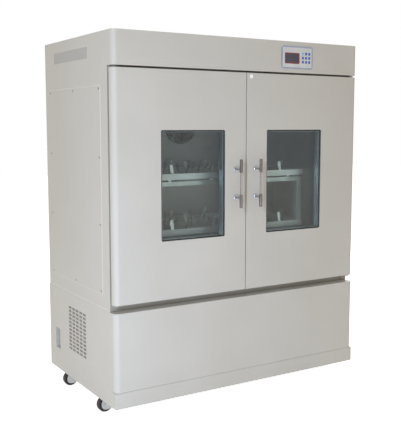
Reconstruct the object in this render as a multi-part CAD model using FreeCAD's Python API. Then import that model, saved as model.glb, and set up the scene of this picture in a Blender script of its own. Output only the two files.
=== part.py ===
import FreeCAD, Part
import math
import os

# Floor-standing shaking incubator. An insulated cabinet with two glazed doors holds a two-tier
# flask platform on three cranks. Its base holds a cooling unit and stands on four casters.
# Millimetres, +Z up, doors facing -Y. The origin is on the floor, under the middle of the
# outline that the cabinet and its door handles make together.

# Cabinet outline
BASE_W = 1200.0
DEPTH = 690.0
CASTER_H = 86.0
PAN_LIFT = 20.0
PLINTH_H = 62.0
BASE_H = 373.0
LOWER_GAP = 31.0
DOOR_H = 891.0
UPPER_GAP = 8.0
HEAD_H = 129.0
SIDE_INSET = 2.5
SHEET = 1.5
CORNER_R = 22.0
FRAME_SETBACK = 46.0
PANEL_GAP = 0.8
FLANGE_W = 20.0

# Chamber
SIDE_WALL = 52.5
SEAL_LAND = 11.0
BACK_WALL = 90.0
DUCT_GAP = 60.0
LINER_T = 1.2
FRAME_T = 12.0
ROOF_INSULATION = 50.0

# Side vents, service covers, power pocket
SLOT_W = 30.0
SLOT_H = 10.0
SLOT_PITCH_Y = 38.5
SLOT_PITCH_Z = 16.2
SLOT_COLUMNS = 5
SLOT_ROWS = 12
LOWER_VENT_Y = 370.5
LOWER_VENT_Z = 220.5
UPPER_VENT_Y = 404.5
UPPER_VENT_W = 362.0
UPPER_VENT_H = 44.0
UPPER_VENT_DROP = 68.0
FINE_SLOT_W = 4.5
FINE_SLOT_PITCH = 11.0
COVER_FRONT = 110.0
COVER_REAR = 48.0
COVER_LOW = 59.0
COVER_DROP = 201.0
COVER_T = 1.2
COVER_R = 5.0
SCREW_R = 4.5
SCREW_HEAD = 1.3
SCREW_EDGE = 10.0
POCKET_BACK = 95.0
POCKET_W = 50.0
POCKET_Z = 141.0
POCKET_H = 90.0
POCKET_D = 45.0
POCKET_FLANGE = 8.0
SOCKET_T = 8.0
ROCKER_W = 21.4
ROCKER_HALF_H = 6.2
ROCKER_TILT = 8.0
ROCKER_LIFT = 22.0
ROCKER_PIN_R = 1.5
ROCKER_PIN_ENTRY = 2.3

# Doors
DOOR_T = 40.0
CENTRE_GAP = 4.0
HINGE_INSET = 19.5
HINGE_SETBACK = 22.0
BACK_CORNER_R = 12.0
WINDOW_X = 250.0
WINDOW_W = 293.0
WINDOW_LIFT = 231.0
WINDOW_H = 430.0
WINDOW_R = 7.0
GLASS_T = 4.0
GLASS_RECESS = 4.0
SPACER_W = 8.0
GASKET_W = 10.0
GASKET_CLEAR = 0.3
DOOR_LINER_INSET = 8.0
PIVOT_R = 4.0
PIVOT_DEPTH = 16.0
WASHER_R = 7.0
WASHER_T = 2.0
BRACKET_HALF_W = 12.0
BRACKET_T = 4.0
UPPER_BRACKET_T = 3.0

# Door handles and lock
HANDLE_X = 49.0
HANDLE_STANDOFF = 36.0
HANDLE_LIFT = 387.0
HANDLE_PITCH = 115.0
SLEEVE_R = 6.25
SLEEVE_LEN = 54.0
SLEEVE_INNER = 13.0
BAR_R = 4.25
POST_R = 4.5
ROSETTE_R = 13.0
ROSETTE_T = 4.0
LOCK_X = 21.6
LOCK_DROP = 14.0
LOCK_R = 8.7
LOCK_BARREL_R = 7.0
LOCK_CAP_T = 2.2
LOCK_DEPTH = 24.0
CAM_LEN = 26.0
CAM_W = 12.0
CAM_T = 2.5

# Control bezel and keys
BEZEL_X = 257.5
BEZEL_W = 165.0
BEZEL_LIFT = 17.0
BEZEL_H = 93.0
BEZEL_T = 1.6
BEZEL_R = 8.0
BEZEL_BACK = 8.0
BEZEL_RIM = 10.0
DISPLAY_X = 55.5
DISPLAY_Z = 43.0
DISPLAY_W = 73.0
DISPLAY_H = 40.0
DISPLAY_T = 2.0
KEY_X = 113.0
KEY_Z = 29.0
KEY_PITCH = 17.2
KEY_W = 10.7
KEY_H = 10.4
KEY_R = 1.5
KEY_PROUD = 0.9
KEY_FLANGE = 1.2
KEY_COUNT = 3

# Orbital drive
ORBIT_R = 13.0
TRAY_CENTRE = 303.0
DRIVE_W = 640.0
DRIVE_D = 300.0
DRIVE_TUBE = 30.0
DRIVE_LEG = 112.0
DRIVE_PLATE_T = 8.0
SHAFT_R = 12.5
IDLER_SHAFT_R = 9.0
HOUSING_H = 22.0
HOUSING_FOOT_T = 6.0
WEB_T = 14.0
WEB_LIFT = 2.0
PIN_R = 10.0
IDLER_PIN_R = 8.0
PIN_LEN = 33.0
BOSS_LIFT = 4.0
WEIGHT_R = 70.0
IDLER_WEIGHT_R = 38.0
IDLER_X = 240.0
IDLER_Y = 110.0
PULLEY_R = 110.0
PULLEY_RATIO = 3.0
PULLEY_T = 22.0
PULLEY_DROP = 16.0
PULLEY_RIM = 14.0
PULLEY_DISH = 7.0
PULLEY_HOLE_R = 16.0
BELT_T = 4.0
BELT_W = 16.0
BELT_CENTRES = 200.0
MOTOR_R = 60.0
MOTOR_H = 62.0
MOTOR_DROP = 4.0
MOTOR_LEG_R = 6.0
MOTOR_LEG_CIRCLE = 52.0
MOTOR_SPINDLE_R = 8.0
SPINDLE_ENTRY = 20.0

# Platform
TRAY_W = 750.0
TRAY_D = 420.0
TRAY_H = 25.0
TRAY_T = 2.0
TIER_PITCH = 226.0
RAIL_H = 18.0
RAIL_TUBE = 30.0
RAIL_INSET_X = 3.0
RAIL_INSET_Y = 6.0
FRAME_POST = 25.0
FRAME_POST_INSET = 14.0
PAD_H = 7.0
PAD_R = 12.0
PAD_PITCH = 200.0
BOSS_DROP = 37.0
CLAMP_R = 82.0
CLAMP_TOP_R = 64.0
CLAMP_H = 62.0
CLAMP_T = 1.5
FINGER_W = 16.0
CLAMP_COLUMNS = 4
CLAMP_ROWS = 2
CLAMP_PITCH_X = 183.0
CLAMP_PITCH_Y = 200.0
SPARE_HOLE_R = 2.6
SPARE_INSET_X = 30.0
SPARE_INSET_Y = 25.0

# Air handling and cooling
FAN_DROP = 200.0
FAN_R = 80.0
FAN_HUB_R = 26.0
FAN_DEPTH = 24.0
FAN_BLADES = 6
FAN_GAP = 4.0
CONDENSER_FAN_R = 95.0
MOTOR_SHAFT_R = 4.0
FAN_MOTOR_R = 30.0
FAN_MOTOR_T = 24.0
FAN_REACH = 1.2
BLADE_CHORD = 0.45
BLADE_T = 1.5
BLADE_PITCH = 30.0
SHAFT_ENTRY = 8.0
MOTOR_BORE = 12.0
MOTOR_FOOT_W = 40.0
COIL_D = 28.0
COIL_W = 620.0
COIL_H = 260.0
COIL_DROP = 40.0
HEATER_DROP = 40.0
HEATER_R = 5.0
HEATER_PITCH = 24.0
HEATER_SETBACK = 20.0
DUCT_SLOT_H = 10.0
INTAKE_SLOT_W = 70.0
INTAKE_LIFT = 160.0
OUTLET_SLOT_W = 110.0
OUTLET_X = 440.0
CONDENSER_D = 50.0
CONDENSER_W = 240.0
CONDENSER_H = 240.0
CONDENSER_SETBACK = 14.0
UNIT_W = 420.0
UNIT_D = 300.0
UNIT_PLATE_T = 12.0
COMPRESSOR_X = 320.0
FIN_T = 2.0
FIN_PITCH = 12.0
TUBE_R = 5.0
COMPRESSOR_R = 85.0
COMPRESSOR_H = 200.0
DOME_H = 50.0

# Casters
CASTER_INSET = 54.0
CASTER_TRAIL = 22.0
CASTER_FRONT = 175.0
CASTER_REAR = 148.0
WHEEL_R = 31.5
WHEEL_W = 24.0
AXLE_R = 4.0
KINGPIN_R = 5.0
KINGPIN_HEAD_R = 9.0
KINGPIN_HEAD_T = 3.0
CROWN_R = 22.0
CROWN_T = 10.0
FORK_T = 3.0
FORK_END = 20.0
FORK_GAP = 2.5
PAN_T = 3.0
PAN_FLANGE = 25.0

# Clearances
RUNNING = 0.05
CLEAR = 0.3
PAST = 1.0

# Places that follow from the sizes above
HANDLE_REACH = HANDLE_STANDOFF + SLEEVE_R
FRONT = HANDLE_REACH - (DEPTH + HANDLE_REACH) / 2
REAR = FRONT + DEPTH
REAR_FACE = REAR - SCREW_HEAD
FRAME_Y = FRONT + FRAME_SETBACK
BASE_X = BASE_W / 2
UPPER_X = BASE_X - SIDE_INSET
PAN_Z = CASTER_H
SKIRT_Z = PAN_Z - PAN_LIFT
PLINTH_Z = SKIRT_Z + PLINTH_H
SEAM_Z = SKIRT_Z + BASE_H
DOOR_Z = SEAM_Z + LOWER_GAP
DOOR_TOP = DOOR_Z + DOOR_H
HEAD_Z = DOOR_TOP + UPPER_GAP
TOP_Z = HEAD_Z + HEAD_H
CHAMBER_FLOOR = DOOR_Z + SEAL_LAND
CHAMBER_CEILING = DOOR_TOP - SEAL_LAND
INSULATION_TOP = CHAMBER_CEILING + ROOF_INSULATION
CHAMBER_HALF_W = UPPER_X - SIDE_WALL
BACK_Y = REAR - BACK_WALL
DUCT_Y = BACK_Y - DUCT_GAP
FAN_Z = CHAMBER_CEILING - FAN_DROP
HINGE_X = UPPER_X - HINGE_INSET
HINGE_Y = FRONT + HINGE_SETBACK
LOCK_Z = DOOR_TOP - LOCK_DROP
POCKET_Y = REAR - POCKET_BACK
PLATE_Z = CHAMBER_FLOOR + DRIVE_LEG
PLATE_TOP = PLATE_Z + DRIVE_PLATE_T
PLATFORM_Y = FRONT + TRAY_CENTRE
CRANK_Y = PLATFORM_Y - ORBIT_R
WEB_Z = PLATE_TOP + HOUSING_H + WEB_LIFT
PIN_Z = WEB_Z + WEB_T
BOSS_Z = PIN_Z + BOSS_LIFT
RAIL_Z = BOSS_Z + BOSS_DROP
PULLEY_Z = PLATE_Z - PULLEY_DROP - PULLEY_T
SMALL_PULLEY_R = PULLEY_R / PULLEY_RATIO
TRAY_Z = RAIL_Z + RAIL_H + PAD_H
RAIL_HALF_W = TRAY_W / 2 - RAIL_INSET_X
RAIL_HALF_D = TRAY_D / 2 - RAIL_INSET_Y
FRAME_POST_X = RAIL_HALF_W - FRAME_POST_INSET
FRAME_POST_Y = RAIL_HALF_D - FRAME_POST_INSET
SPARE_X = TRAY_W / 2 - SPARE_INSET_X
SPARE_Y = TRAY_D / 2 - SPARE_INSET_Y
SIDES = (-1, 1)


def vec(x, y, z):
    return FreeCAD.Vector(x, y, z)


def box(x, y, z):
    """A block between two values on each axis, given in either order."""
    low = vec(min(x), min(y), min(z))
    return Part.makeBox(abs(x[1] - x[0]), abs(y[1] - y[0]), abs(z[1] - z[0]), low)


def rod(radius, start, end):
    """A round bar from one point to another."""
    run = end - start
    return Part.makeCylinder(radius, run.Length, start, run)


def on_plane(plane, u, v, w):
    """The point (u, v) of an xy, xz or yz plane, w along the plane's normal axis."""
    if plane == "xy":
        return vec(u, v, w)
    if plane == "xz":
        return vec(u, w, v)
    return vec(w, u, v)


def outline(plane, corners, level):
    """A closed wire through (u, v, radius) corners, each rounded to its radius."""
    starts = []
    arcs = []
    ends = []
    for index, (u, v, radius) in enumerate(corners):
        here = vec(u, v, 0)
        before = vec(*corners[index - 1][:2], 0) - here
        after = vec(*corners[(index + 1) % len(corners)][:2], 0) - here
        before.normalize()
        after.normalize()
        half_turn = before.getAngle(after) / 2
        back = radius / math.tan(half_turn)
        bisector = before + after
        if radius > 0:
            bisector.normalize()
        middle = here + bisector * (radius / math.sin(half_turn) - radius)
        starts.append(here + before * back)
        arcs.append(middle)
        ends.append(here + after * back)
    edges = []
    for index, (_, _, radius) in enumerate(corners):
        start, middle, end = (on_plane(plane, p.x, p.y, level)
                              for p in (starts[index], arcs[index], ends[index]))
        if radius > 0:
            edges.append(Part.Arc(start, middle, end).toShape())
        following = starts[(index + 1) % len(corners)]
        following = on_plane(plane, following.x, following.y, level)
        if (following - end).Length > 1e-6:
            edges.append(Part.LineSegment(end, following).toShape())
    return Part.Wire(edges)


def prism(plane, corners, low, high):
    """The outline of (u, v, radius) corners, extruded from low to high across its plane."""
    face = Part.Face(outline(plane, corners, min(low, high)))
    return face.extrude(on_plane(plane, 0, 0, abs(high - low)))


def rect(u, v, radius=0.0):
    """The four corners of a rectangle between two values of u and two of v."""
    return [(u[0], v[0], radius), (u[1], v[0], radius), (u[1], v[1], radius), (u[0], v[1], radius)]


def around(centre, size):
    """The two values half a size either side of a centre."""
    return (centre - size / 2, centre + size / 2)


def spread(centre, pitch, count):
    """Evenly pitched places about a centre."""
    return [centre + pitch * (index - (count - 1) / 2) for index in range(count)]


def fused(shapes):
    """One solid made of shapes that share volume or faces."""
    return shapes[0].multiFuse(shapes[1:]).removeSplitter()


def group(shapes):
    """Separate solids kept in one file."""
    return Part.makeCompound(shapes)


def save(name, shape):
    """Write one piece to its own file."""
    shape.exportStep(os.path.join("parts", name + ".step"))


def side_name(side):
    return "left" if side < 0 else "right"


# Base cabinet

def caster_places():
    """(side, front or rear, swivel axis x, y) for each caster."""
    places = []
    for side in SIDES:
        for end, y in (("front", FRONT + CASTER_FRONT), ("rear", REAR - CASTER_REAR)):
            places.append((side, end, side * (BASE_X - CASTER_INSET), y))
    return places


def base_pan():
    """Folded tray under the base, with the four kingpins that the casters swivel on."""
    x = (SHEET - BASE_X, BASE_X - SHEET)
    y = (FRONT + SHEET, REAR - SHEET)
    pan = box(x, y, (PAN_Z, PAN_Z + PAN_FLANGE))
    hollow = box((x[0] + PAN_T, x[1] - PAN_T), (y[0] + PAN_T, y[1] - PAN_T),
                 (PAN_Z + PAN_T, PAN_Z + PAN_FLANGE + PAST))
    pieces = [pan.cut(hollow)]
    head_z = PAN_Z - CLEAR - CROWN_T - CLEAR
    for _, _, x, y in caster_places():
        pieces.append(rod(KINGPIN_R, vec(x, y, head_z), vec(x, y, PAN_Z + PAN_T)))
        pieces.append(rod(KINGPIN_HEAD_R, vec(x, y, head_z - KINGPIN_HEAD_T), vec(x, y, head_z)))
    return fused(pieces)


def slot_field(plane, centre_u, low, high):
    """The slots of one lower vent, as cutters through the wall between low and high."""
    cutters = []
    for u in spread(centre_u, SLOT_PITCH_Y, SLOT_COLUMNS):
        for v in spread(SKIRT_Z + LOWER_VENT_Z, SLOT_PITCH_Z, SLOT_ROWS):
            corners = rect(around(u, SLOT_W), around(v, SLOT_H))
            cutters.append(prism(plane, corners, low, high))
    return cutters


def pocket_span(grow=0.0):
    """The power pocket's extent along Y and Z, grown all round."""
    y = around(POCKET_Y, POCKET_W + 2 * grow)
    z = around(SKIRT_Z + POCKET_Z, POCKET_H + 2 * grow)
    return y, z


def base_shell():
    """Welded wrapper of the base: sides, rear, deck and the plinth strip with its ledge."""
    shell = box((-BASE_X, BASE_X), (FRONT, REAR), (SKIRT_Z, SEAM_Z))
    inner_x = (SHEET - BASE_X, BASE_X - SHEET)
    cutters = [
        box(inner_x, (FRAME_Y, REAR - SHEET), (SKIRT_Z - PAST, SEAM_Z - SHEET)),
        box(inner_x, (FRONT + SHEET, FRAME_Y + PAST), (SKIRT_Z - PAST, PLINTH_Z - SHEET)),
        box((-BASE_X - PAST, BASE_X + PAST), (FRONT - PAST, FRAME_Y), (PLINTH_Z, SEAM_Z + PAST)),
    ]
    for side in SIDES:
        low = side * (BASE_X - SHEET - PAST)
        high = side * (BASE_X + PAST)
        cutters += slot_field("yz", FRONT + LOWER_VENT_Y, low, high)
    cutters += slot_field("xz", -BASE_X / 2, REAR - SHEET - PAST, REAR + PAST)
    cutters.append(box((-BASE_X - PAST, SHEET + PAST - BASE_X), *pocket_span()))
    return shell.cut(cutters)


def lower_front_panel():
    """Folded front cover of the base, with rounded upright corners and returns all round."""
    def plan(inset, back):
        radius = CORNER_R - inset
        x = BASE_X - inset
        y = FRONT + inset
        return [(-x, y, radius), (x, y, radius), (x, back, 0), (-x, back, 0)]

    low = PLINTH_Z + PANEL_GAP
    outer = prism("xy", plan(0, FRAME_Y), low, SEAM_Z)
    return outer.cut(prism("xy", plan(SHEET, FRAME_Y + PAST), low + SHEET, SEAM_Z - SHEET))


def power_pocket():
    """Moulded tub behind the side opening, with the mains inlet and the switch's bezel."""
    wall = BASE_X - SHEET
    back = wall - POCKET_D
    tub = box((-wall, -back + SHEET), *pocket_span(SHEET))
    flange = box((-wall, SHEET - wall), *pocket_span(POCKET_FLANGE))
    hollow = box((-wall - PAST, -back), *pocket_span())
    y, z = POCKET_Y, SKIRT_Z + POCKET_Z
    front = -back - SOCKET_T
    bezel = box((front, -back), around(y, ROCKER_W + 8), around(z + ROCKER_LIFT, 24))
    cavity = box((front - PAST, -back - 1), around(y, ROCKER_W + 2 * CLEAR),
                 around(z + ROCKER_LIFT, 15))
    pin_hole = rocker_pin(RUNNING, CLEAR)
    inlet = prism("yz", rect(around(y, 34), around(z - 20, 26), 4), front, -back)
    recess = prism("yz", [(y - 12, z - 28, 1), (y + 12, z - 28, 1), (y + 12, z - 16, 1),
                          (y + 7, z - 12, 1), (y - 7, z - 12, 1), (y - 12, z - 16, 1)],
                   front - PAST, -back - 1)
    blades = [box((front + 1, -back), around(y + offset, 2), around(z + lift, 4))
              for offset, lift in ((-7, -22), (0, -17), (7, -22))]
    body = fused([tub, flange]).cut(hollow)
    return fused([body, bezel.cut([cavity, pin_hole]), inlet.cut(recess)] + blades)


def rocker_pivot():
    """Where the switch rocks: (x, y, z) on its axis, which runs along Y."""
    return vec(POCKET_D + SHEET - BASE_X - SOCKET_T / 2, POCKET_Y,
               SKIRT_Z + POCKET_Z + ROCKER_LIFT)


def rocker_pin(grow=0.0, longer=0.0):
    """The pin through the rocker that turns in the bezel's sides, or a cutter for its hole."""
    reach = vec(0, ROCKER_W / 2 + ROCKER_PIN_ENTRY + longer, 0)
    return rod(ROCKER_PIN_R + grow, rocker_pivot() - reach, rocker_pivot() + reach)


def power_rocker():
    """Rocker of the mains switch, a shallow vee across its pivot, tilted to its off side."""
    pivot = rocker_pivot()
    h = ROCKER_HALF_H
    profile = [(-4, 0, 0), (-5.6, h, 0.6), (0, h, 0), (0, -h, 0), (-5.6, -h, 0.6)]
    corners = [(pivot.x + u, pivot.z + v, radius) for u, v, radius in profile]
    y = around(pivot.y, ROCKER_W)
    rocker = prism("xz", corners, *y)
    rocker.rotate(pivot, vec(0, 1, 0), ROCKER_TILT)
    return fused([rocker, rocker_pin()])


# Upper cabinet

def cover_span(grow=0.0):
    """The side service cover's extent along Y and Z, grown all round."""
    return ((FRONT + COVER_FRONT - grow, REAR - COVER_REAR + grow),
            (SEAM_Z + COVER_LOW - grow, TOP_Z - COVER_DROP + grow))


def side_sheet(side):
    """Upper side sheet with its rear flange, the fine vent and the service opening."""
    outer, inner = side * UPPER_X, side * (UPPER_X - SHEET)
    back = REAR_FACE - SHEET
    top = TOP_Z - SHEET
    sheet = box((inner, outer), (FRAME_Y, back), (SEAM_Z, top))
    flange = box((side * (UPPER_X - FLANGE_W), outer), (back - SHEET, back), (SEAM_Z, top))
    through = (side * (UPPER_X - SHEET - PAST), side * (UPPER_X + PAST))
    cutters = [box(through, *cover_span(-FLANGE_W))]
    count = int(UPPER_VENT_W / FINE_SLOT_PITCH)
    z = around(TOP_Z - UPPER_VENT_DROP, UPPER_VENT_H)
    for y in spread(FRONT + UPPER_VENT_Y, FINE_SLOT_PITCH, count):
        cutters.append(box(through, around(y, FINE_SLOT_W), z))
    return fused([sheet, flange]).cut(cutters)


def service_covers():
    """One flat cover on each side sheet, over the service opening."""
    corners = rect(*cover_span(), COVER_R)
    return group([prism("yz", corners, side * UPPER_X, side * (UPPER_X + COVER_T))
                  for side in SIDES])


def panel_screws():
    """Low screw heads on the side covers and along the rear sheet's upright edges."""
    heads = []
    y_span, z_span = cover_span(-SCREW_EDGE)
    rows = [z_span[0] + (z_span[1] - z_span[0]) * step / 3 for step in range(4)]
    for side in SIDES:
        face, top = side * (UPPER_X + COVER_T), side * (UPPER_X + COVER_T + SCREW_HEAD)
        places = [(y, z) for y in y_span for z in rows]
        places += [(sum(y_span) / 2, z) for z in z_span]
        heads += [rod(SCREW_R, vec(face, y, z), vec(top, y, z)) for y, z in places]
        x = side * (UPPER_X - FLANGE_W / 2)
        for step in range(5):
            z = SEAM_Z + FLANGE_W + (TOP_Z - SEAM_Z - 2 * FLANGE_W) * step / 4
            heads.append(rod(SCREW_R, vec(x, REAR_FACE, z), vec(x, REAR, z)))
    return group(heads)


def bezel_corner():
    """Lower left corner of the control bezel on the fascia."""
    return BEZEL_X - BEZEL_W / 2, HEAD_Z + BEZEL_LIFT


def bezel_back_span(grow=0.0):
    """The part of the bezel that passes through the fascia, along X and Z."""
    x, z = bezel_corner()
    rim = BEZEL_RIM - grow
    return (x + rim, x + BEZEL_W - rim), (z + rim, z + BEZEL_H - rim)


def head_cover():
    """Fascia with rounded corners and the roof sheet behind it, folded from one piece."""
    def plan(inset, back):
        radius = CORNER_R - inset
        x = UPPER_X - inset
        y = FRONT + inset
        return [(-x, y, radius), (x, y, radius), (x, back, 0), (-x, back, 0)]

    outer = prism("xy", plan(0, REAR_FACE), HEAD_Z, TOP_Z)
    hollow = prism("xy", plan(SHEET, REAR + PAST), HEAD_Z + SHEET, TOP_Z - SHEET)
    behind = box((-BASE_X, BASE_X), (FRAME_Y, REAR + PAST), (HEAD_Z - PAST, TOP_Z - SHEET))
    x, z = bezel_back_span(CLEAR)
    window = box(x, (FRONT - PAST, FRONT + SHEET + PAST), z)
    cam_y = FRONT + LOCK_DEPTH - CAM_T / 2
    cam_slot = box((LOCK_X - CAM_W / 2 - 1, LOCK_X + CAM_LEN - 4), around(cam_y, CAM_T + 2),
                   (HEAD_Z - PAST, HEAD_Z + SHEET + PAST))
    return outer.cut([hollow, behind, window, cam_slot])


def rear_sheet():
    return box((-UPPER_X, UPPER_X), (REAR_FACE - SHEET, REAR_FACE), (SEAM_Z, TOP_Z - SHEET))


def chamber_box(grow, front, back):
    """The chamber's inside, grown on its four sides, from front to back."""
    x = CHAMBER_HALF_W + grow
    return box((-x, x), (front, back), (CHAMBER_FLOOR - grow, CHAMBER_CEILING + grow))


def insulation():
    """Foam between the outer sheets and the liner."""
    x = UPPER_X - SHEET
    foam = box((-x, x), (FRAME_Y + FRAME_T, REAR_FACE - 2 * SHEET), (SEAM_Z, INSULATION_TOP))
    return foam.cut(chamber_box(LINER_T, FRAME_Y, BACK_Y + LINER_T))


def chamber_liner():
    """Stainless box that lines the chamber, open towards the doors."""
    liner = chamber_box(LINER_T, FRAME_Y + FRAME_T, BACK_Y + LINER_T)
    return liner.cut(chamber_box(0, FRAME_Y, BACK_Y))


def door_frame():
    """Frame round the chamber's mouth that the door gaskets close on."""
    x = UPPER_X - SHEET
    outer = prism("xz", rect((-x, x), (SEAM_Z, INSULATION_TOP)), FRAME_Y, FRAME_Y + FRAME_T)
    mouth = rect((-CHAMBER_HALF_W, CHAMBER_HALF_W), (CHAMBER_FLOOR, CHAMBER_CEILING))
    return outer.cut(prism("xz", mouth, FRAME_Y - PAST, FRAME_Y + FRAME_T + PAST))


# Air handling and cooling

def duct_panel():
    """Panel in front of the chamber's rear wall, with the fan's mouth and the air slots."""
    through = (DUCT_Y - PAST, DUCT_Y + LINER_T + PAST)
    panel = chamber_box(0, DUCT_Y, DUCT_Y + LINER_T)
    cutters = [rod(FAN_R + FAN_GAP, vec(0, through[0], FAN_Z), vec(0, through[1], FAN_Z))]
    for x in spread(0, 110, 9):
        for z in spread(CHAMBER_FLOOR + INTAKE_LIFT, 36, 3):
            cutters.append(box(around(x, INTAKE_SLOT_W), through, around(z, DUCT_SLOT_H)))
    for side in SIDES:
        for z in spread(FAN_Z - 60, 60, 7):
            x = around(side * OUTLET_X, OUTLET_SLOT_W)
            cutters.append(box(x, through, around(z, DUCT_SLOT_H)))
    return panel.cut(cutters)


def finned_coil(x, y, z):
    """Coil block whose fins stand across X, between two upright header tubes."""
    middle = sum(y) / 2
    core_x = (x[0] + TUBE_R, x[1] - TUBE_R)
    core = box(core_x, (y[0] + FIN_T, y[1] - FIN_T), (z[0] + FIN_T, z[1] - FIN_T))
    pieces = [core]
    count = int((core_x[1] - core_x[0]) / FIN_PITCH)
    for place in spread(sum(x) / 2, FIN_PITCH, count):
        pieces.append(box(around(place, FIN_T), y, z))
    for end in core_x:
        pieces.append(rod(TUBE_R, vec(end, middle, z[0]), vec(end, middle, z[1])))
    return fused(pieces)


def fan(radius, depth):
    """Axial fan about the Y axis: a hub on a shaft, with pitched blades."""
    hub = rod(FAN_HUB_R, vec(0, 0, 0), vec(0, depth, 0))
    shaft = rod(MOTOR_SHAFT_R, vec(0, depth, 0), vec(0, depth + FAN_REACH + SHAFT_ENTRY, 0))
    blades = []
    for index in range(FAN_BLADES):
        blade = box(around(0, BLADE_CHORD * radius), around(depth / 2, BLADE_T),
                    (FAN_HUB_R - 4, radius + PAST))
        blade.rotate(vec(0, depth / 2, 0), vec(0, 0, 1), BLADE_PITCH)
        blade.rotate(vec(0, 0, 0), vec(0, 1, 0), 360 * index / FAN_BLADES)
        blades.append(blade)
    sweep = rod(radius, vec(0, 0, 0), vec(0, depth, 0))
    swept = [blade.common(sweep) for blade in blades]
    return fused([hub, shaft] + swept)


def fan_motor():
    """Round motor behind a fan of the same axis, bored for the fan's shaft."""
    motor = rod(FAN_MOTOR_R, vec(0, 0, 0), vec(0, FAN_MOTOR_T, 0))
    return motor.cut(rod(MOTOR_SHAFT_R + RUNNING, vec(0, -PAST, 0), vec(0, MOTOR_BORE, 0)))


def circulation_fan():
    wheel = fan(FAN_R, FAN_DEPTH)
    wheel.translate(vec(0, DUCT_Y + LINER_T + FAN_GAP, FAN_Z))
    return wheel


def air_handler():
    """Cooling coil, heater and the fan's motor, in the space behind the duct panel."""
    coil_top = FAN_Z - FAN_R - COIL_DROP
    coil = finned_coil(around(0, COIL_W), (BACK_Y - COIL_D, BACK_Y), (coil_top - COIL_H, coil_top))
    pieces = [coil]
    heater_z = coil_top - COIL_H - HEATER_DROP
    y = BACK_Y - HEATER_SETBACK
    bars = []
    for z in (heater_z, heater_z - HEATER_PITCH):
        bars.append(rod(HEATER_R, vec(-COIL_W / 2, y, z), vec(COIL_W / 2, y, z)))
    end_z = (heater_z - HEATER_PITCH - 12, heater_z + 12)
    ends = [box((side * COIL_W / 2, side * (COIL_W / 2 - 10)), (y - 8, BACK_Y), end_z)
            for side in SIDES]
    pieces.append(fused(bars + ends))
    start = DUCT_Y + LINER_T + FAN_GAP + FAN_DEPTH + FAN_REACH
    motor = fan_motor()
    motor.translate(vec(0, start, FAN_Z))
    pedestal = box(around(0, MOTOR_FOOT_W), (start + FAN_MOTOR_T, BACK_Y),
                   around(FAN_Z, MOTOR_FOOT_W))
    pieces.append(fused([motor, pedestal]))
    return group(pieces)


def condenser_axis():
    """The condenser fan's axis: the end that faces the vent, and its height."""
    return vec(SHEET - BASE_X + CONDENSER_SETBACK + CONDENSER_D + FAN_GAP, FRONT + LOWER_VENT_Y,
               PAN_Z + PAN_T + UNIT_PLATE_T + CONDENSER_H / 2)


def condenser_fan():
    wheel = fan(CONDENSER_FAN_R, FAN_DEPTH)
    wheel.rotate(vec(0, 0, 0), vec(0, 0, 1), -90)
    start = condenser_axis()
    wheel.translate(start + vec(FAN_GAP, 0, 0))
    return wheel


def condensing_unit():
    """Base plate, compressor, condenser coil with its shroud, and the fan's motor."""
    axis = condenser_axis()
    floor = PAN_Z + PAN_T
    plate_top = floor + UNIT_PLATE_T
    start = axis.x - FAN_GAP - CONDENSER_D
    height = (plate_top, plate_top + CONDENSER_H)
    plate = box((start, start + UNIT_W), around(axis.y, UNIT_D), (floor, plate_top))
    coil = finned_coil(around(0, CONDENSER_W), around(0, CONDENSER_D), height)
    coil.rotate(vec(0, 0, 0), vec(0, 0, 1), 90)
    coil.translate(vec(start + CONDENSER_D / 2, axis.y, 0))
    shroud_x = (axis.x - FAN_GAP, axis.x + FAN_DEPTH / 2)
    mouth = rod(CONDENSER_FAN_R + FAN_GAP, vec(shroud_x[0] - PAST, axis.y, axis.z),
                vec(shroud_x[1] + PAST, axis.y, axis.z))
    shroud = box(shroud_x, around(axis.y, CONDENSER_W), height).cut(mouth)
    motor = fan_motor()
    motor.rotate(vec(0, 0, 0), vec(0, 0, 1), -90)
    motor_x = (axis.x + FAN_GAP + FAN_DEPTH + FAN_REACH,
               axis.x + FAN_GAP + FAN_DEPTH + FAN_REACH + FAN_MOTOR_T)
    motor.translate(vec(motor_x[0], axis.y, axis.z))
    stand = box((motor_x[0] + 2, motor_x[1] - 2), around(axis.y, 30), (plate_top, axis.z))
    stand = stand.cut(rod(FAN_MOTOR_R, axis, vec(motor_x[1], axis.y, axis.z)))
    can = compressor()
    can.translate(vec(start + COMPRESSOR_X, axis.y, plate_top))
    return group([fused([plate, shroud]), coil, fused([motor, stand]), can])


def compressor():
    """Welded hermetic can with domed ends on a flat foot, standing at the origin."""
    r, h = COMPRESSOR_R, COMPRESSOR_H
    points = [vec(0, 0, 0), vec(r + 6, 0, 0), vec(r + 6, 0, 6), vec(r - 12, 0, 6), vec(r, 0, 24),
              vec(r, 0, h - DOME_H)]
    edges = [Part.LineSegment(a, b).toShape() for a, b in zip(points, points[1:])]
    dome_r = (r * r + DOME_H * DOME_H) / (2 * DOME_H)
    half = math.asin(r / dome_r) / 2
    middle = vec(dome_r * math.sin(half), 0, h - dome_r + dome_r * math.cos(half))
    edges.append(Part.Arc(points[-1], middle, vec(0, 0, h)).toShape())
    edges.append(Part.LineSegment(vec(0, 0, h), points[0]).toShape())
    return Part.Face(Part.Wire(edges)).revolve(vec(0, 0, 0), vec(0, 0, 1), 360)


# Orbital drive

def crank_places():
    """Crank axes (x, y): the main one and the idlers to its front left and front right."""
    idler_y = CRANK_Y - IDLER_Y
    return {"main": (0, CRANK_Y), "left": (-IDLER_X, idler_y), "right": (IDLER_X, idler_y)}


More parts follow.
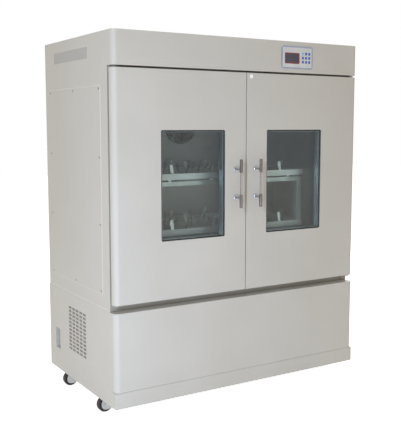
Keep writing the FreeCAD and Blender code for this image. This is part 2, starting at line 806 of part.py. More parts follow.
def drive_frame():
    """Welded tube table on the chamber's floor, with the three bearing housings on its top."""
    x, y = DRIVE_W / 2, DRIVE_D / 2
    t = DRIVE_TUBE
    pieces = [box((-x, x), (CRANK_Y - y, CRANK_Y + y), (PLATE_Z, PLATE_TOP))]
    for side in SIDES:
        pieces.append(box((side * x, side * (x - t)), (CRANK_Y - y, CRANK_Y + y),
                          (CHAMBER_FLOOR, CHAMBER_FLOOR + t)))
        edge = CRANK_Y + side * y
        pieces.append(box((-x, x), (edge, edge - side * t), (CHAMBER_FLOOR, CHAMBER_FLOOR + t)))
        for end in SIDES:
            edge = CRANK_Y + end * y
            pieces.append(box((side * x, side * (x - t)), (edge, edge - end * t),
                              (CHAMBER_FLOOR, PLATE_Z)))
    bores = []
    for name, (cx, cy) in crank_places().items():
        radius = SHAFT_R if name == "main" else IDLER_SHAFT_R
        foot = vec(cx, cy, PLATE_TOP)
        pieces.append(rod(2 * radius + 18, foot, foot + vec(0, 0, HOUSING_FOOT_T)))
        pieces.append(rod(2 * radius + 7, foot, foot + vec(0, 0, HOUSING_H)))
        bores.append(rod(radius + RUNNING, vec(cx, cy, PLATE_Z - PAST), vec(cx, cy, WEB_Z)))
    return fused(pieces).cut(bores)


def crank(name, shaft_r, pin_r, low, weight_r):
    """Shaft, web with counterweight, and the pin that stands off the shaft by the orbit."""
    cx, cy = crank_places()[name]
    web = [rod(shaft_r + 10, vec(cx, cy, WEB_Z), vec(cx, cy, PIN_Z)),
           rod(pin_r + 8, vec(cx, cy + ORBIT_R, WEB_Z), vec(cx, cy + ORBIT_R, PIN_Z))]
    weight = rod(weight_r, vec(cx, cy, WEB_Z), vec(cx, cy, PIN_Z))
    keep = box(around(cx, 1.6 * weight_r), (cy - weight_r - PAST, cy), (WEB_Z, PIN_Z))
    pieces = [weight.common(keep)] + web
    pieces.append(rod(shaft_r, vec(cx, cy, low), vec(cx, cy, PIN_Z)))
    pin = vec(cx, cy + ORBIT_R, WEB_Z)
    pieces.append(rod(pin_r, pin, pin + vec(0, 0, WEB_T + PIN_LEN)))
    return pieces


def pulley(radius, bore_r, cx, cy):
    """Flanged belt pulley: rim, web with round holes where it is wide enough, and hub."""
    z = (PULLEY_Z, PULLEY_Z + PULLEY_T)
    lip = (PULLEY_T - BELT_W) / 2 - CLEAR
    flange_r = radius + 0.75 * BELT_T
    pieces = [rod(radius, vec(cx, cy, z[0]), vec(cx, cy, z[1]))]
    for low in (z[0], z[1] - lip):
        pieces.append(rod(flange_r, vec(cx, cy, low), vec(cx, cy, low + lip)))
    wheel = fused(pieces)
    if radius > 4 * bore_r:
        rim_r, hub_r = radius - PULLEY_RIM, 2.2 * bore_r
        low = vec(cx, cy, z[0] - PAST)
        floor = vec(cx, cy, z[0] + PULLEY_DISH)
        dish = rod(rim_r, low, floor).cut(rod(hub_r, low, floor))
        cutters = [dish, dish.translated(vec(0, 0, PULLEY_T - PULLEY_DISH + PAST))]
        middle = (rim_r + hub_r) / 2
        for index in range(6):
            turn = math.radians(60 * index)
            x, y = cx + middle * math.cos(turn), cy + middle * math.sin(turn)
            cutters.append(rod(PULLEY_HOLE_R, vec(x, y, z[0]), vec(x, y, z[1])))
        wheel = wheel.cut(cutters)
    return wheel


def crank_main():
    low = PULLEY_Z - 8
    pieces = crank("main", SHAFT_R, PIN_R, low, WEIGHT_R)
    pieces.append(pulley(PULLEY_R, SHAFT_R, *crank_places()["main"]))
    return fused(pieces)


def idler_crank(name):
    cx, cy = crank_places()[name]
    low = PLATE_Z - CLEAR - 8
    collar = rod(IDLER_SHAFT_R + 5, vec(cx, cy, low), vec(cx, cy, PLATE_Z - CLEAR))
    return fused(crank(name, IDLER_SHAFT_R, IDLER_PIN_R, low, IDLER_WEIGHT_R) + [collar])


def motor_pulley():
    cx, cy = BELT_CENTRES, CRANK_Y
    shaft = rod(MOTOR_SPINDLE_R, vec(cx, cy, PULLEY_Z - SPINDLE_ENTRY),
                vec(cx, cy, PULLEY_Z + PULLEY_T + 2))
    return fused([pulley(SMALL_PULLEY_R, MOTOR_SPINDLE_R + 2, cx, cy), shaft])


def drive_motor():
    """Flat brushless motor under the plate, hung from it on three standoffs."""
    cx, cy = BELT_CENTRES, CRANK_Y
    top = PULLEY_Z - MOTOR_DROP
    motor = rod(MOTOR_R, vec(cx, cy, top - MOTOR_H), vec(cx, cy, top))
    grooves = []
    for z in spread(top - MOTOR_H / 2, 10, 4):
        low, high = vec(cx, cy, z), vec(cx, cy, z + 4)
        grooves.append(rod(MOTOR_R + PAST, low, high).cut(rod(MOTOR_R - 3, low, high)))
    motor = motor.cut(grooves)
    legs = []
    for turn in (-80, 0, 80):
        x = cx + MOTOR_LEG_CIRCLE * math.cos(math.radians(turn))
        y = cy + MOTOR_LEG_CIRCLE * math.sin(math.radians(turn))
        legs.append(rod(MOTOR_LEG_R, vec(x, y, top - PAST), vec(x, y, PLATE_Z)))
    bore = rod(MOTOR_SPINDLE_R + RUNNING, vec(cx, cy, PULLEY_Z - SPINDLE_ENTRY - CLEAR),
               vec(cx, cy, top + PAST))
    return fused([motor] + legs).cut(bore)


def belt_loop(grow, low, high):
    """Solid hull round both pulleys, grown by a distance."""
    big, small = PULLEY_R + grow, SMALL_PULLEY_R + grow
    lean = math.asin((big - small) / BELT_CENTRES)
    cos, sin = math.cos(lean), math.sin(lean)
    pieces = [rod(big, vec(0, CRANK_Y, low), vec(0, CRANK_Y, high)),
              rod(small, vec(BELT_CENTRES, CRANK_Y, low), vec(BELT_CENTRES, CRANK_Y, high))]
    corners = [(big * sin, CRANK_Y - big * cos, 0),
               (BELT_CENTRES + small * sin, CRANK_Y - small * cos, 0),
               (BELT_CENTRES + small * sin, CRANK_Y + small * cos, 0),
               (big * sin, CRANK_Y + big * cos, 0)]
    pieces.append(prism("xy", corners, low, high))
    return fused(pieces)


def drive_belt():
    z = around(PULLEY_Z + PULLEY_T / 2, BELT_W)
    return belt_loop(CLEAR + BELT_T, *z).cut(belt_loop(CLEAR, z[0] - PAST, z[1] + PAST))


# Platform

def rail_frame(z):
    """One tier's frame: four rails and three cross members, with rubber pads on top."""
    high = z + RAIL_H
    x = (-RAIL_HALF_W, RAIL_HALF_W)
    y = (PLATFORM_Y - RAIL_HALF_D, PLATFORM_Y + RAIL_HALF_D)
    t = RAIL_TUBE
    pieces = [box(x, (y[0], y[0] + t), (z, high)), box(x, (y[1] - t, y[1]), (z, high))]
    for place in (x[0] + t / 2, -IDLER_X, 0, IDLER_X, x[1] - t / 2):
        pieces.append(box(around(place, t), y, (z, high)))
    for px in spread(0, PAD_PITCH, 4):
        for py in (y[0] + t / 2, y[1] - t / 2):
            pieces.append(rod(PAD_R, vec(px, py, high), vec(px, py, high + PAD_H)))
    return pieces


def swing_frame():
    """Both tiers' frames, the four posts between them and the three bearing bosses."""
    pieces = rail_frame(RAIL_Z) + rail_frame(RAIL_Z + TIER_PITCH)
    for side in SIDES:
        for end in SIDES:
            pieces.append(box(around(side * FRAME_POST_X, FRAME_POST),
                              around(PLATFORM_Y + end * FRAME_POST_Y, FRAME_POST),
                              (RAIL_Z + RAIL_H, RAIL_Z + TIER_PITCH)))
    bores = []
    for name, (cx, cy) in crank_places().items():
        pin_r = PIN_R if name == "main" else IDLER_PIN_R
        y = cy + ORBIT_R
        pieces.append(rod(pin_r + 13, vec(cx, y, BOSS_Z), vec(cx, y, RAIL_Z)))
        bores.append(rod(pin_r + RUNNING, vec(cx, y, BOSS_Z - PAST),
                         vec(cx, y, PIN_Z + PIN_LEN + 2)))
    return fused(pieces).cut(bores)


def tray(z, upper):
    """Folded tray. The lower one is pierced for the posts, the upper for spare clamps."""
    x, y = TRAY_W / 2, TRAY_D / 2
    outer = prism("xy", rect((-x, x), (PLATFORM_Y - y, PLATFORM_Y + y), 6), z, z + TRAY_H)
    inner = rect((TRAY_T - x, x - TRAY_T), around(PLATFORM_Y, TRAY_D - 2 * TRAY_T), 4)
    cutters = [prism("xy", inner, z + TRAY_T, z + TRAY_H + PAST)]
    for side in SIDES:
        for end in SIDES:
            if upper:
                spot = vec(side * SPARE_X, PLATFORM_Y + end * SPARE_Y, z - PAST)
                cutters.append(rod(SPARE_HOLE_R, spot, spot + vec(0, 0, TRAY_T + 2 * PAST)))
            else:
                hole = FRAME_POST + 3
                cutters.append(box(around(side * FRAME_POST_X, hole),
                                   around(PLATFORM_Y + end * FRAME_POST_Y, hole),
                                   (z - PAST, z + TRAY_T + PAST)))
    return outer.cut(cutters)


def trays():
    return group([tray(TRAY_Z, False), tray(TRAY_Z + TIER_PITCH, True)])


def flask_clamp(cx, cy, z):
    """Clamp for one flask: a round foot and four spring fingers that lean over the flask."""
    foot_r = CLAMP_R - 2
    low, high = z + CLAMP_T, z + CLAMP_H
    corners = [(cx + foot_r - CLAMP_T, low, 0), (cx + foot_r, low, 0),
               (cx + CLAMP_TOP_R + CLAMP_T, high, 0), (cx + CLAMP_TOP_R, high, 0)]
    pieces = [rod(foot_r, vec(cx, cy, z), vec(cx, cy, low))]
    for index in range(4):
        finger = prism("xz", corners, *around(cy, FINGER_W))
        finger.rotate(vec(cx, cy, 0), vec(0, 0, 1), 90 * index)
        pieces.append(finger)
    return pieces


def flask_clamps():
    solids = []
    for tier in range(2):
        z = TRAY_Z + tier * TIER_PITCH + TRAY_T
        for cx in spread(0, CLAMP_PITCH_X, CLAMP_COLUMNS):
            for cy in spread(PLATFORM_Y, CLAMP_PITCH_Y, CLAMP_ROWS):
                solids += flask_clamp(cx, cy, z)
    return group(solids)


# Doors

def door_plan(side, inset, back):
    """A door seen from above: rounded outer front corner, smaller outer back corner."""
    free = side * (CENTRE_GAP / 2 + inset)
    outer = side * (UPPER_X - inset)
    y = FRONT + inset
    return [(free, y, 0), (outer, y, CORNER_R - inset), (outer, back, BACK_CORNER_R - inset),
            (free, back, 0)]


def window_corners(side, grow):
    x = around(side * WINDOW_X, WINDOW_W + 2 * grow)
    z = (DOOR_Z + WINDOW_LIFT - grow, DOOR_Z + WINDOW_LIFT + WINDOW_H + grow)
    return rect(x, z, WINDOW_R + grow)


def liner_span(side):
    """The opening in a door's back that its inner panel fills."""
    inset = DOOR_LINER_INSET
    x = (side * (CENTRE_GAP / 2 + inset), side * (UPPER_X - BACK_CORNER_R - inset))
    return x, (DOOR_Z + inset, DOOR_TOP - inset)


def door_shell(side):
    """Hollow steel door: skin, folded edges, window reveal, pivot bosses, lock boss."""
    back = FRONT + DOOR_T
    shell = prism("xy", door_plan(side, 0, back), DOOR_Z, DOOR_TOP)
    hollow = prism("xy", door_plan(side, SHEET, back - SHEET), DOOR_Z + SHEET, DOOR_TOP - SHEET)
    x, z = liner_span(side)
    cutters = [box(x, (back - SHEET - PAST, back + PAST), z),
               prism("xz", window_corners(side, 0), FRONT - PAST, back + PAST)]
    pieces = [shell.cut(hollow), prism("xz", window_corners(side, SHEET), FRONT, back)]
    for low in (DOOR_Z, DOOR_TOP - PIVOT_DEPTH):
        foot = vec(side * HINGE_X, HINGE_Y, low)
        top = foot + vec(0, 0, PIVOT_DEPTH)
        pieces.append(rod(2 * PIVOT_R + 1, foot, top))
        cutters.append(rod(PIVOT_R + RUNNING, foot - vec(0, 0, PAST), top + vec(0, 0, PAST)))
    if side > 0:
        front = vec(LOCK_X, FRONT, LOCK_Z)
        boss_end = front + vec(0, LOCK_DEPTH - CAM_T - 2, 0)
        pieces.append(rod(LOCK_BARREL_R + 3, front, boss_end))
        cutters.append(rod(LOCK_BARREL_R + RUNNING, front - vec(0, PAST, 0),
                           front + vec(0, LOCK_DEPTH, 0)))
        cutters.append(box((LOCK_X - CAM_W / 2 - 2, LOCK_X + CAM_LEN + 1.5),
                           around(FRONT + LOCK_DEPTH - CAM_T / 2, CAM_T + 2),
                           (DOOR_TOP - SHEET - PAST, DOOR_TOP + PAST)))
    return fused(pieces).cut(cutters)


def door_liner(side):
    """Flat inner panel of a door, round the window reveal."""
    back = FRONT + DOOR_T
    x, z = liner_span(side)
    panel = box(x, (back - SHEET, back), z)
    return panel.cut(prism("xz", window_corners(side, SHEET), back - SHEET - PAST, back + PAST))


def door_glazing(side):
    """Two panes with a spacer between their edges, inside the window reveal."""
    front = FRONT + GLASS_RECESS
    rear = FRONT + DOOR_T - GLASS_RECESS
    corners = window_corners(side, 0)
    spacer = prism("xz", corners, front + GLASS_T, rear - GLASS_T)
    spacer = spacer.cut(prism("xz", window_corners(side, -SPACER_W / 2), front, rear))
    panes = [prism("xz", corners, y, y + GLASS_T) for y in (front, rear - GLASS_T)]
    return group(panes + [spacer])


def door_gasket(side):
    """Soft seal on a door's back, which closes on the frame. It stays inside the hinge axis."""
    back = FRONT + DOOR_T
    x = (side * 1.0, side * (HINGE_X - 2))
    z = (DOOR_Z + 1, DOOR_TOP - 1)
    w = GASKET_W
    outer = prism("xz", rect(x, z, 3), back, FRAME_Y - GASKET_CLEAR)
    inner = rect((x[0] + side * w, x[1] - side * w), (z[0] + w, z[1] - w), 3)
    return outer.cut(prism("xz", inner, back - PAST, FRAME_Y + PAST))


def door_handle(side):
    """Bar with thicker end sleeves on two posts, each post on a domed rosette."""
    x = side * HANDLE_X
    y = FRONT - HANDLE_STANDOFF
    low = DOOR_Z + HANDLE_LIFT
    high = low + HANDLE_PITCH
    pieces = [rod(BAR_R, vec(x, y, low), vec(x, y, high))]
    for z, inward in ((low, 1), (high, -1)):
        inner = z + inward * SLEEVE_INNER
        sleeve = rod(SLEEVE_R, vec(x, y, inner), vec(x, y, inner - inward * SLEEVE_LEN))
        rims = [edge for edge in sleeve.Edges if edge.Curve.TypeId == "Part::GeomCircle"]
        pieces.append(sleeve.makeChamfer(0.8, rims))
        pieces.append(rod(POST_R, vec(x, FRONT, z), vec(x, y, z)))
        step = vec(x, FRONT - ROSETTE_T / 2, z)
        pieces.append(rod(ROSETTE_R, vec(x, FRONT, z), step))
        pieces.append(Part.makeCone(ROSETTE_R, POST_R + 3, ROSETTE_T / 2, step, vec(0, -1, 0)))
    return fused(pieces)


def door_lock():
    """Cam lock: a round cap with a keyway, its barrel and the cam, turned to its open side."""
    face = vec(LOCK_X, FRONT, LOCK_Z)
    cap = rod(LOCK_R, face - vec(0, CLEAR + LOCK_CAP_T, 0), face - vec(0, CLEAR, 0))
    keyway = box(around(LOCK_X, 1.4), (FRONT - LOCK_CAP_T - PAST, FRONT - 1.2), around(LOCK_Z, 8))
    barrel = rod(LOCK_BARREL_R, face - vec(0, CLEAR, 0), face + vec(0, LOCK_DEPTH, 0))
    y = (FRONT + LOCK_DEPTH - CAM_T, FRONT + LOCK_DEPTH)
    cam = prism("xz", rect((LOCK_X - CAM_W / 2, LOCK_X + CAM_LEN), around(LOCK_Z, CAM_W), 3), *y)
    return fused([cap.cut(keyway), barrel, cam])


def hinge_brackets():
    """Cast brackets in the gaps above and below the doors, each with its pivot pin."""
    brackets = []
    for side in SIDES:
        x = around(side * HINGE_X, 2 * BRACKET_HALF_W)
        nose, nose_r = HINGE_Y - BRACKET_HALF_W, BRACKET_HALF_W - 1
        plan = [(x[0], nose, nose_r), (x[1], nose, nose_r), (x[1], FRAME_Y, 0), (x[0], FRAME_Y, 0)]
        axis = vec(side * HINGE_X, HINGE_Y, 0)
        top = DOOR_Z - CLEAR - WASHER_T
        low = [prism("xy", plan, top - BRACKET_T, top),
               box(x, (FRAME_Y - BRACKET_T, FRAME_Y), (SEAM_Z + 4, top)),
               rod(WASHER_R, axis + vec(0, 0, top), axis + vec(0, 0, DOOR_Z - CLEAR)),
               rod(PIVOT_R, axis + vec(0, 0, top), axis + vec(0, 0, DOOR_Z + PIVOT_DEPTH - 1))]
        base = DOOR_TOP + CLEAR + WASHER_T
        high = [prism("xy", plan, base, base + UPPER_BRACKET_T),
                rod(WASHER_R, axis + vec(0, 0, DOOR_TOP + CLEAR), axis + vec(0, 0, base)),
                rod(PIVOT_R, axis + vec(0, 0, DOOR_TOP - PIVOT_DEPTH + 1), axis + vec(0, 0, base))]
        brackets += [fused(low), fused(high)]
    return group(brackets)


# Control bezel

def key_centre(column, row):
    x, z = bezel_corner()
    return x + KEY_X + column * KEY_PITCH, z + KEY_Z + row * KEY_PITCH


def display_span(grow=0.0):
    x, z = bezel_corner()
    return around(x + DISPLAY_X, DISPLAY_W + 2 * grow), around(z + DISPLAY_Z, DISPLAY_H + 2 * grow)


def control_bezel():
    """Moulded bezel on the fascia: a thin face and the deeper back that guides the keys."""
    x, z = bezel_corner()
    face = prism("xz", rect((x, x + BEZEL_W), (z, z + BEZEL_H), BEZEL_R), FRONT - BEZEL_T, FRONT)
    span = bezel_back_span()
    back = box(span[0], (FRONT, FRONT + BEZEL_BACK), span[1])
    through = (FRONT - BEZEL_T - PAST, FRONT + BEZEL_BACK + PAST)
    seat = (through[0], FRONT - BEZEL_T + DISPLAY_T)
    cutters = [prism("xz", rect(*display_span(CLEAR), 2), *seat),
               prism("xz", rect(*display_span(-4), 1), *through)]
    for column in range(KEY_COUNT):
        for row in range(KEY_COUNT):
            cx, cz = key_centre(column, row)
            hole = rect(around(cx, KEY_W + 2 * CLEAR), around(cz, KEY_H + 2 * CLEAR), KEY_R)
            cutters.append(prism("xz", hole, *through))
    return fused([face, back]).cut(cutters)


def display_window():
    y = FRONT - BEZEL_T
    return prism("xz", rect(*display_span(), 2), y, y + DISPLAY_T)


def key(column, row):
    """Key cap with a flange behind the bezel that keeps it in."""
    cx, cz = key_centre(column, row)
    back = FRONT + BEZEL_BACK + CLEAR
    face = rect(around(cx, KEY_W), around(cz, KEY_H), KEY_R)
    cap = prism("xz", face, FRONT - BEZEL_T - KEY_PROUD, back)
    flange = box(around(cx, KEY_W + 2 * KEY_FLANGE), (back, back + 1),
                 around(cz, KEY_H + 2 * KEY_FLANGE))
    return fused([cap, flange])


# Casters

def fork_centre(side, x):
    """The wheel's axle lies outward of the swivel axis by the trail."""
    return x + side * CASTER_TRAIL


def caster_fork(side, x, y):
    """Crown that turns on the kingpin, two broad round-ended legs and the axle bolt."""
    top = PAN_Z - CLEAR
    low = top - CROWN_T
    ax = fork_centre(side, x)
    leg_in = WHEEL_W / 2 + FORK_GAP
    crown = rod(CROWN_R, vec(x, y, low), vec(x, y, top))
    pieces = [crown]
    foot = WHEEL_R - FORK_END
    leg = [(x - side * (CROWN_R - 3), top - 2, 3), (ax - side * FORK_END, foot, FORK_END - 4),
           (ax + side * FORK_END, foot, FORK_END - 1), (ax + side * FORK_END, WHEEL_R + 8, 12),
           (x + side * (CROWN_R - 1), top - 2, 3)]
    for end in SIDES:
        pieces.append(prism("xz", leg, y + end * leg_in, y + end * (leg_in + FORK_T)))
        face = y + end * (leg_in + FORK_T)
        pieces.append(rod(AXLE_R + 3, vec(ax, face, WHEEL_R), vec(ax, face + end * 3, WHEEL_R)))
    reach = leg_in + FORK_T
    pieces.append(rod(AXLE_R, vec(ax, y - reach, WHEEL_R), vec(ax, y + reach, WHEEL_R)))
    bore = rod(KINGPIN_R + RUNNING, vec(x, y, low - PAST), vec(x, y, top + PAST))
    return fused(pieces).cut(bore)


def caster_wheel(side, x, y):
    """Tyre on a dished hub, turned about the axle."""
    ax = fork_centre(side, x)
    half = WHEEL_W / 2
    bore = AXLE_R + RUNNING
    hub = half + FORK_GAP - CLEAR
    profile = [(bore, hub), (AXLE_R + 5, hub), (AXLE_R + 5, half - 3), (WHEEL_R - 9, half - 3),
               (WHEEL_R - 8, half), (WHEEL_R - 2, half), (WHEEL_R, half - 3)]
    profile += [(r, -w) for r, w in reversed(profile)]
    points = [vec(ax + r, y + w, WHEEL_R) for r, w in profile]
    wire = Part.makePolygon(points + points[:1])
    return Part.Face(wire).revolve(vec(ax, y, WHEEL_R), vec(0, 1, 0), 360)


def build():
    save("base_pan", base_pan())
    save("base_shell", base_shell())
    save("lower_front_panel", lower_front_panel())
    save("power_pocket", power_pocket())
    save("power_rocker", power_rocker())
    save("service_covers", service_covers())
    save("panel_screws", panel_screws())
    save("head_cover", head_cover())
    save("rear_sheet", rear_sheet())
    save("insulation", insulation())
    save("chamber_liner", chamber_liner())
    save("door_frame", door_frame())
    save("duct_panel", duct_panel())
    save("air_handler", air_handler())
    save("circulation_fan", circulation_fan())
    save("condensing_unit", condensing_unit())
    save("condenser_fan", condenser_fan())
    save("drive_frame", drive_frame())
    save("drive_motor", drive_motor())
    save("drive_belt", drive_belt())
    save("motor_pulley", motor_pulley())
    save("crank_main", crank_main())
    save("swing_frame", swing_frame())
    save("trays", trays())
    save("flask_clamps", flask_clamps())
    save("hinge_brackets", hinge_brackets())
    save("control_bezel", control_bezel())
    save("display_window", display_window())
    save("door_lock", door_lock())
    for column in range(KEY_COUNT):
        for row in range(KEY_COUNT):
            save(f"key_{column + 1}_{row + 1}", key(column, row))
    for side in SIDES:
        name = side_name(side)
        save(f"side_sheet_{name}", side_sheet(side))
        save(f"idler_crank_{name}", idler_crank(name))
        save(f"{name}_door_shell", door_shell(side))
        save(f"{name}_door_liner", door_liner(side))
        save(f"{name}_door_glazing", door_glazing(side))
        save(f"{name}_door_gasket", door_gasket(side))
        save(f"{name}_door_handle", door_handle(side))
    for side, end, x, y in caster_places():
        name = f"{side_name(side)}_{end}"
        save(f"caster_fork_{name}", caster_fork(side, x, y))
        save(f"caster_wheel_{name}", caster_wheel(side, x, y))


build()
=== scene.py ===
import itertools
import math

import bmesh
import bpy
import numpy as np
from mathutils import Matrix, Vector


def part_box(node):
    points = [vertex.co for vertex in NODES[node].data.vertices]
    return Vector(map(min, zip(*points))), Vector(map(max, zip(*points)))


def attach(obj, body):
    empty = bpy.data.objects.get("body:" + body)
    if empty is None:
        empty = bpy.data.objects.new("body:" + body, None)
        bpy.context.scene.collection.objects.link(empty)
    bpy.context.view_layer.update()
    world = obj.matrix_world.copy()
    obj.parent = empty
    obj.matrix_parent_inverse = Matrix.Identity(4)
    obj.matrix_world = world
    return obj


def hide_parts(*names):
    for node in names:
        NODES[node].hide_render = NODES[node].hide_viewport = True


# Looks of the floor-standing shaking incubator. Sizes are in millimetres until a mesh is made.
MM = 0.001
SIDES = {"left": -1, "right": 1}
KEY_NUMBERS = [(column, row) for column in (1, 2, 3) for row in (1, 2, 3)]
CYAN_KEY = (1, 3)

# An edge whose faces turn by more than this stays sharp, in degrees
SHARP_ANGLE = 35.0

# Handle: a rod with a sleeve on each end, on two posts
SLEEVE_R = 6.25
SLEEVE_LEN = 54.0
SLEEVE_MOUTH_R = 4.6
GROOVE_DROP = 4.6
GROOVE_DEPTH = 0.35
POST_INSET = 41.0
POST_R = 4.5
POST_NECK_R = 6.2
ROSETTE_R = 13.0
ROSETTE_H = 5.2
ROD_R = 4.25

# Windows and seals
WINDOW_R = 7.0
SPACER_INSET = 7.2
SPACER_T = 1.2
SPACER_R = 3.0
PANE_T = 4.2
SEAL_HALF_W = 5.0
SEAL_R = 4.0

# Control bezel
BEZEL_R = 8.0
DISPLAY_R = 2.0

# Flask clamps on their two tiers
CLAMP_PITCH_X = 183.0
CLAMP_PITCH_Y = 200.0
CLAMP_TIERS = (0.0, 226.0)
CLAMP_COLUMNS = (-1.5, -0.5, 0.5, 1.5)
CLAMP_ROWS = (-0.5, 0.5)
FINGER_FOOT_R = 79.4
FINGER_TOP_R = 63.0
FINGER_BOW = 3.0
FINGER_RISE = 54.0
FINGER_HALF_T = 0.6
FINGER_HALF_W = 8.0
FINGER_TAPER = 2.0
TIP_OUT = 3.2
TIP_UP = 3.6
TIP_TURN = 0.75 * math.pi

# Fan guard: its rings as (radius, lift), and each spoke's bends over them, also as (radius, lift)
WIRE_R = 1.0
GUARD_RINGS = ((86, 1.6), (70, 6.0), (54, 9.0), (38, 10.5), (22, 11.0))
SPOKE_BENDS = ((22, 12.6), (38, 12.1), (54, 10.6), (70, 7.6), (86, 3.0), (92, 1.0))

# Filter pads behind the lower vents
FILTER_FACE = 598.2
FILTER_T = 6.0
FILTER_Y = (-52, 146)
FILTER_Z = (184, 389)
FILTER_R = 6.0

# Fillets coloured paler than the enamel as a painted highlight: one round the service cover, and one
# on the base's ledge, short of its edge
COVER_R = 5.0
LEDGE_H = 5.0
LEDGE_SHORT = 0.1

# Camera fitted to the photograph, in millimetres and degrees
CAMERA_PLACE = (-1779.0, -2857.2, 1145.0)
CAMERA_LENS = 63.95
CAMERA_DIP = 6.485
CAMERA_TURN = 31.609

# Floor: half its side in metres, and its grid's points to a side
FLOOR_HALF = 14.0
FLOOR_POINTS = 5

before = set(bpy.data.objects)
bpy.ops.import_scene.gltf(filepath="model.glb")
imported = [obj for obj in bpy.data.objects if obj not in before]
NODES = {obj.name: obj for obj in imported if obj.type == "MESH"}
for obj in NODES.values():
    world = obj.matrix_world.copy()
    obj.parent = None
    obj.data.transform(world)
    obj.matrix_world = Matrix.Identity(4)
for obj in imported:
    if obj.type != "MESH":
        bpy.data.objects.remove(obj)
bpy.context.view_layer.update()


def low_high(name):
    """A CAD node's lowest and highest corner, in millimetres."""
    low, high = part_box(name)
    return np.array(low) / MM, np.array(high) / MM


FACE_Y = low_high("left_door_shell")[0][1]
BASE_HIGH = low_high("base_shell")[1]


# Nodes and materials

def linear(hex_colour):
    """An sRGB hex colour as linear values: c/12.92 below 0.04045, else ((c+0.055)/1.055)^2.4."""
    values = np.array([int(hex_colour[i:i + 2], 16) / 255 for i in (1, 3, 5)])
    curve = np.where(values <= 0.04045, values / 12.92, ((values + 0.055) / 1.055) ** 2.4)
    return (*curve.tolist(), 1.0)


def per_metre(width_mm):
    """A pattern's scale from the real width of its grain: 1 / width, with the width in metres."""
    return 1 / (width_mm * MM)


def settle(tree, node, **inputs):
    """Sets a node's inputs, each by its name, or as i and its number.

    A value is set. An output is linked, and so is a node, by its first output."""
    for key, value in inputs.items():
        numbered = key[1:].isdigit()
        socket = node.inputs[int(key[1:]) if numbered else key.replace("_", " ")]
        if isinstance(value, bpy.types.Node):
            value = value.outputs[0]
        if isinstance(value, bpy.types.NodeSocket):
            tree.links.new(value, socket)
        else:
            socket.default_value = value


def add(tree, kind, settings=None, **inputs):
    """A new node with its settings and its inputs."""
    node = tree.nodes.new(kind)
    for key, value in (settings or {}).items():
        setattr(node, key, value)
    settle(tree, node, **inputs)
    return node


def shades(tree, value, dark, light, low=0.3, high=0.7):
    """A colour that runs from dark to light as a value goes from low to high."""
    share = add(tree, "ShaderNodeMapRange", Value=value, From_Min=low, From_Max=high)
    mix = add(tree, "ShaderNodeMix", {"data_type": "RGBA"}, i0=share, i6=linear(dark),
              i7=linear(light))
    return mix.outputs[2]


def bumped(tree, height, depth_mm, edge_mm=0.0):
    """A normal from a height pattern of a real depth, on edges that look rounded."""
    normal = add(tree, "ShaderNodeBump", Height=height, Distance=depth_mm * MM, Strength=1.0)
    if edge_mm:
        bevel = add(tree, "ShaderNodeBevel", {"samples": 4}, Radius=edge_mm * MM)
        settle(tree, normal, Normal=bevel)
    return normal


def start(name):
    """A new material with its shader, its output and its place on the object, in metres."""
    material = bpy.data.materials.new(name)
    material.use_nodes = True
    tree = material.node_tree
    shader = tree.nodes["Principled BSDF"]
    place = tree.nodes.new("ShaderNodeTexCoord").outputs["Object"]
    return material, tree, shader, place


def enamel(name, dark, light):
    """Sprayed and baked enamel on sheet steel: satin, with a fine orange peel 2.5 mm wide.

    Its tone drifts over a third of a metre, with a faint grain on top."""
    material, tree, shader, place = start(name)
    peel = add(tree, "ShaderNodeTexNoise", Vector=place, Scale=per_metre(2.5), Detail=2.0)
    cloud = add(tree, "ShaderNodeTexNoise", Vector=place, Scale=per_metre(333), Detail=3.0)
    grain = add(tree, "ShaderNodeTexNoise", Vector=place, Scale=per_metre(3.85), Detail=1.0)
    tone = add(tree, "ShaderNodeMath", {"operation": "MULTIPLY_ADD"}, i0=grain, i1=0.25, i2=cloud)
    sheen = add(tree, "ShaderNodeMapRange", Value=cloud, From_Min=0.3, From_Max=0.7, To_Min=0.46,
                To_Max=0.56)
    settle(tree, shader, Base_Color=shades(tree, tone, dark, light, 0.4, 0.85), Roughness=sheen,
           Normal=bumped(tree, peel, 0.03, 1.2))
    return material


def zinc_plate():
    """Hot-dipped galvanised sheet: dull spangles near 12 mm wide, each barely its own grey."""
    material, tree, shader, place = start("galvanised_sheet")
    cells = add(tree, "ShaderNodeTexVoronoi", Vector=place, Scale=per_metre(11.75))
    tone = add(tree, "ShaderNodeSeparateColor", Color=cells.outputs["Color"])
    sheen = add(tree, "ShaderNodeMapRange", Value=tone, To_Min=0.5, To_Max=0.58)
    settle(tree, shader, Base_Color=shades(tree, tone, "#a8a8a6", "#b5b5b3", 0.0, 1.0),
           Metallic=0.7, Roughness=sheen, Normal=bumped(tree, tone, 0.004, 1.0))
    return material


def brushed(name, dark, light, widths, roughness, edge=0.8):
    """Brushed metal: hairlines whose sizes along x, y and z are the three widths in millimetres.

    Real hairlines, near 0.1 mm wide, are too fine to show, so these are coarser."""
    material, tree, shader, place = start(name)
    scale = [per_metre(width) for width in widths]
    drawn = add(tree, "ShaderNodeVectorMath", {"operation": "MULTIPLY"}, i0=place, i1=scale)
    lines = add(tree, "ShaderNodeTexNoise", Vector=drawn, Scale=1.0, Detail=3.0)
    smear = add(tree, "ShaderNodeTexNoise", Vector=place, Scale=per_metre(111), Detail=3.0)
    tone = add(tree, "ShaderNodeMath", {"operation": "MULTIPLY_ADD"}, i0=smear, i1=0.5, i2=lines)
    sheen = add(tree, "ShaderNodeMapRange", Value=lines, From_Min=0.3, From_Max=0.7,
                To_Min=roughness - 0.05, To_Max=roughness + 0.12)
    settle(tree, shader, Base_Color=shades(tree, tone, dark, light, 0.5, 1.0), Metallic=1.0,
           Roughness=sheen, Normal=bumped(tree, lines, 0.006, edge))
    return material


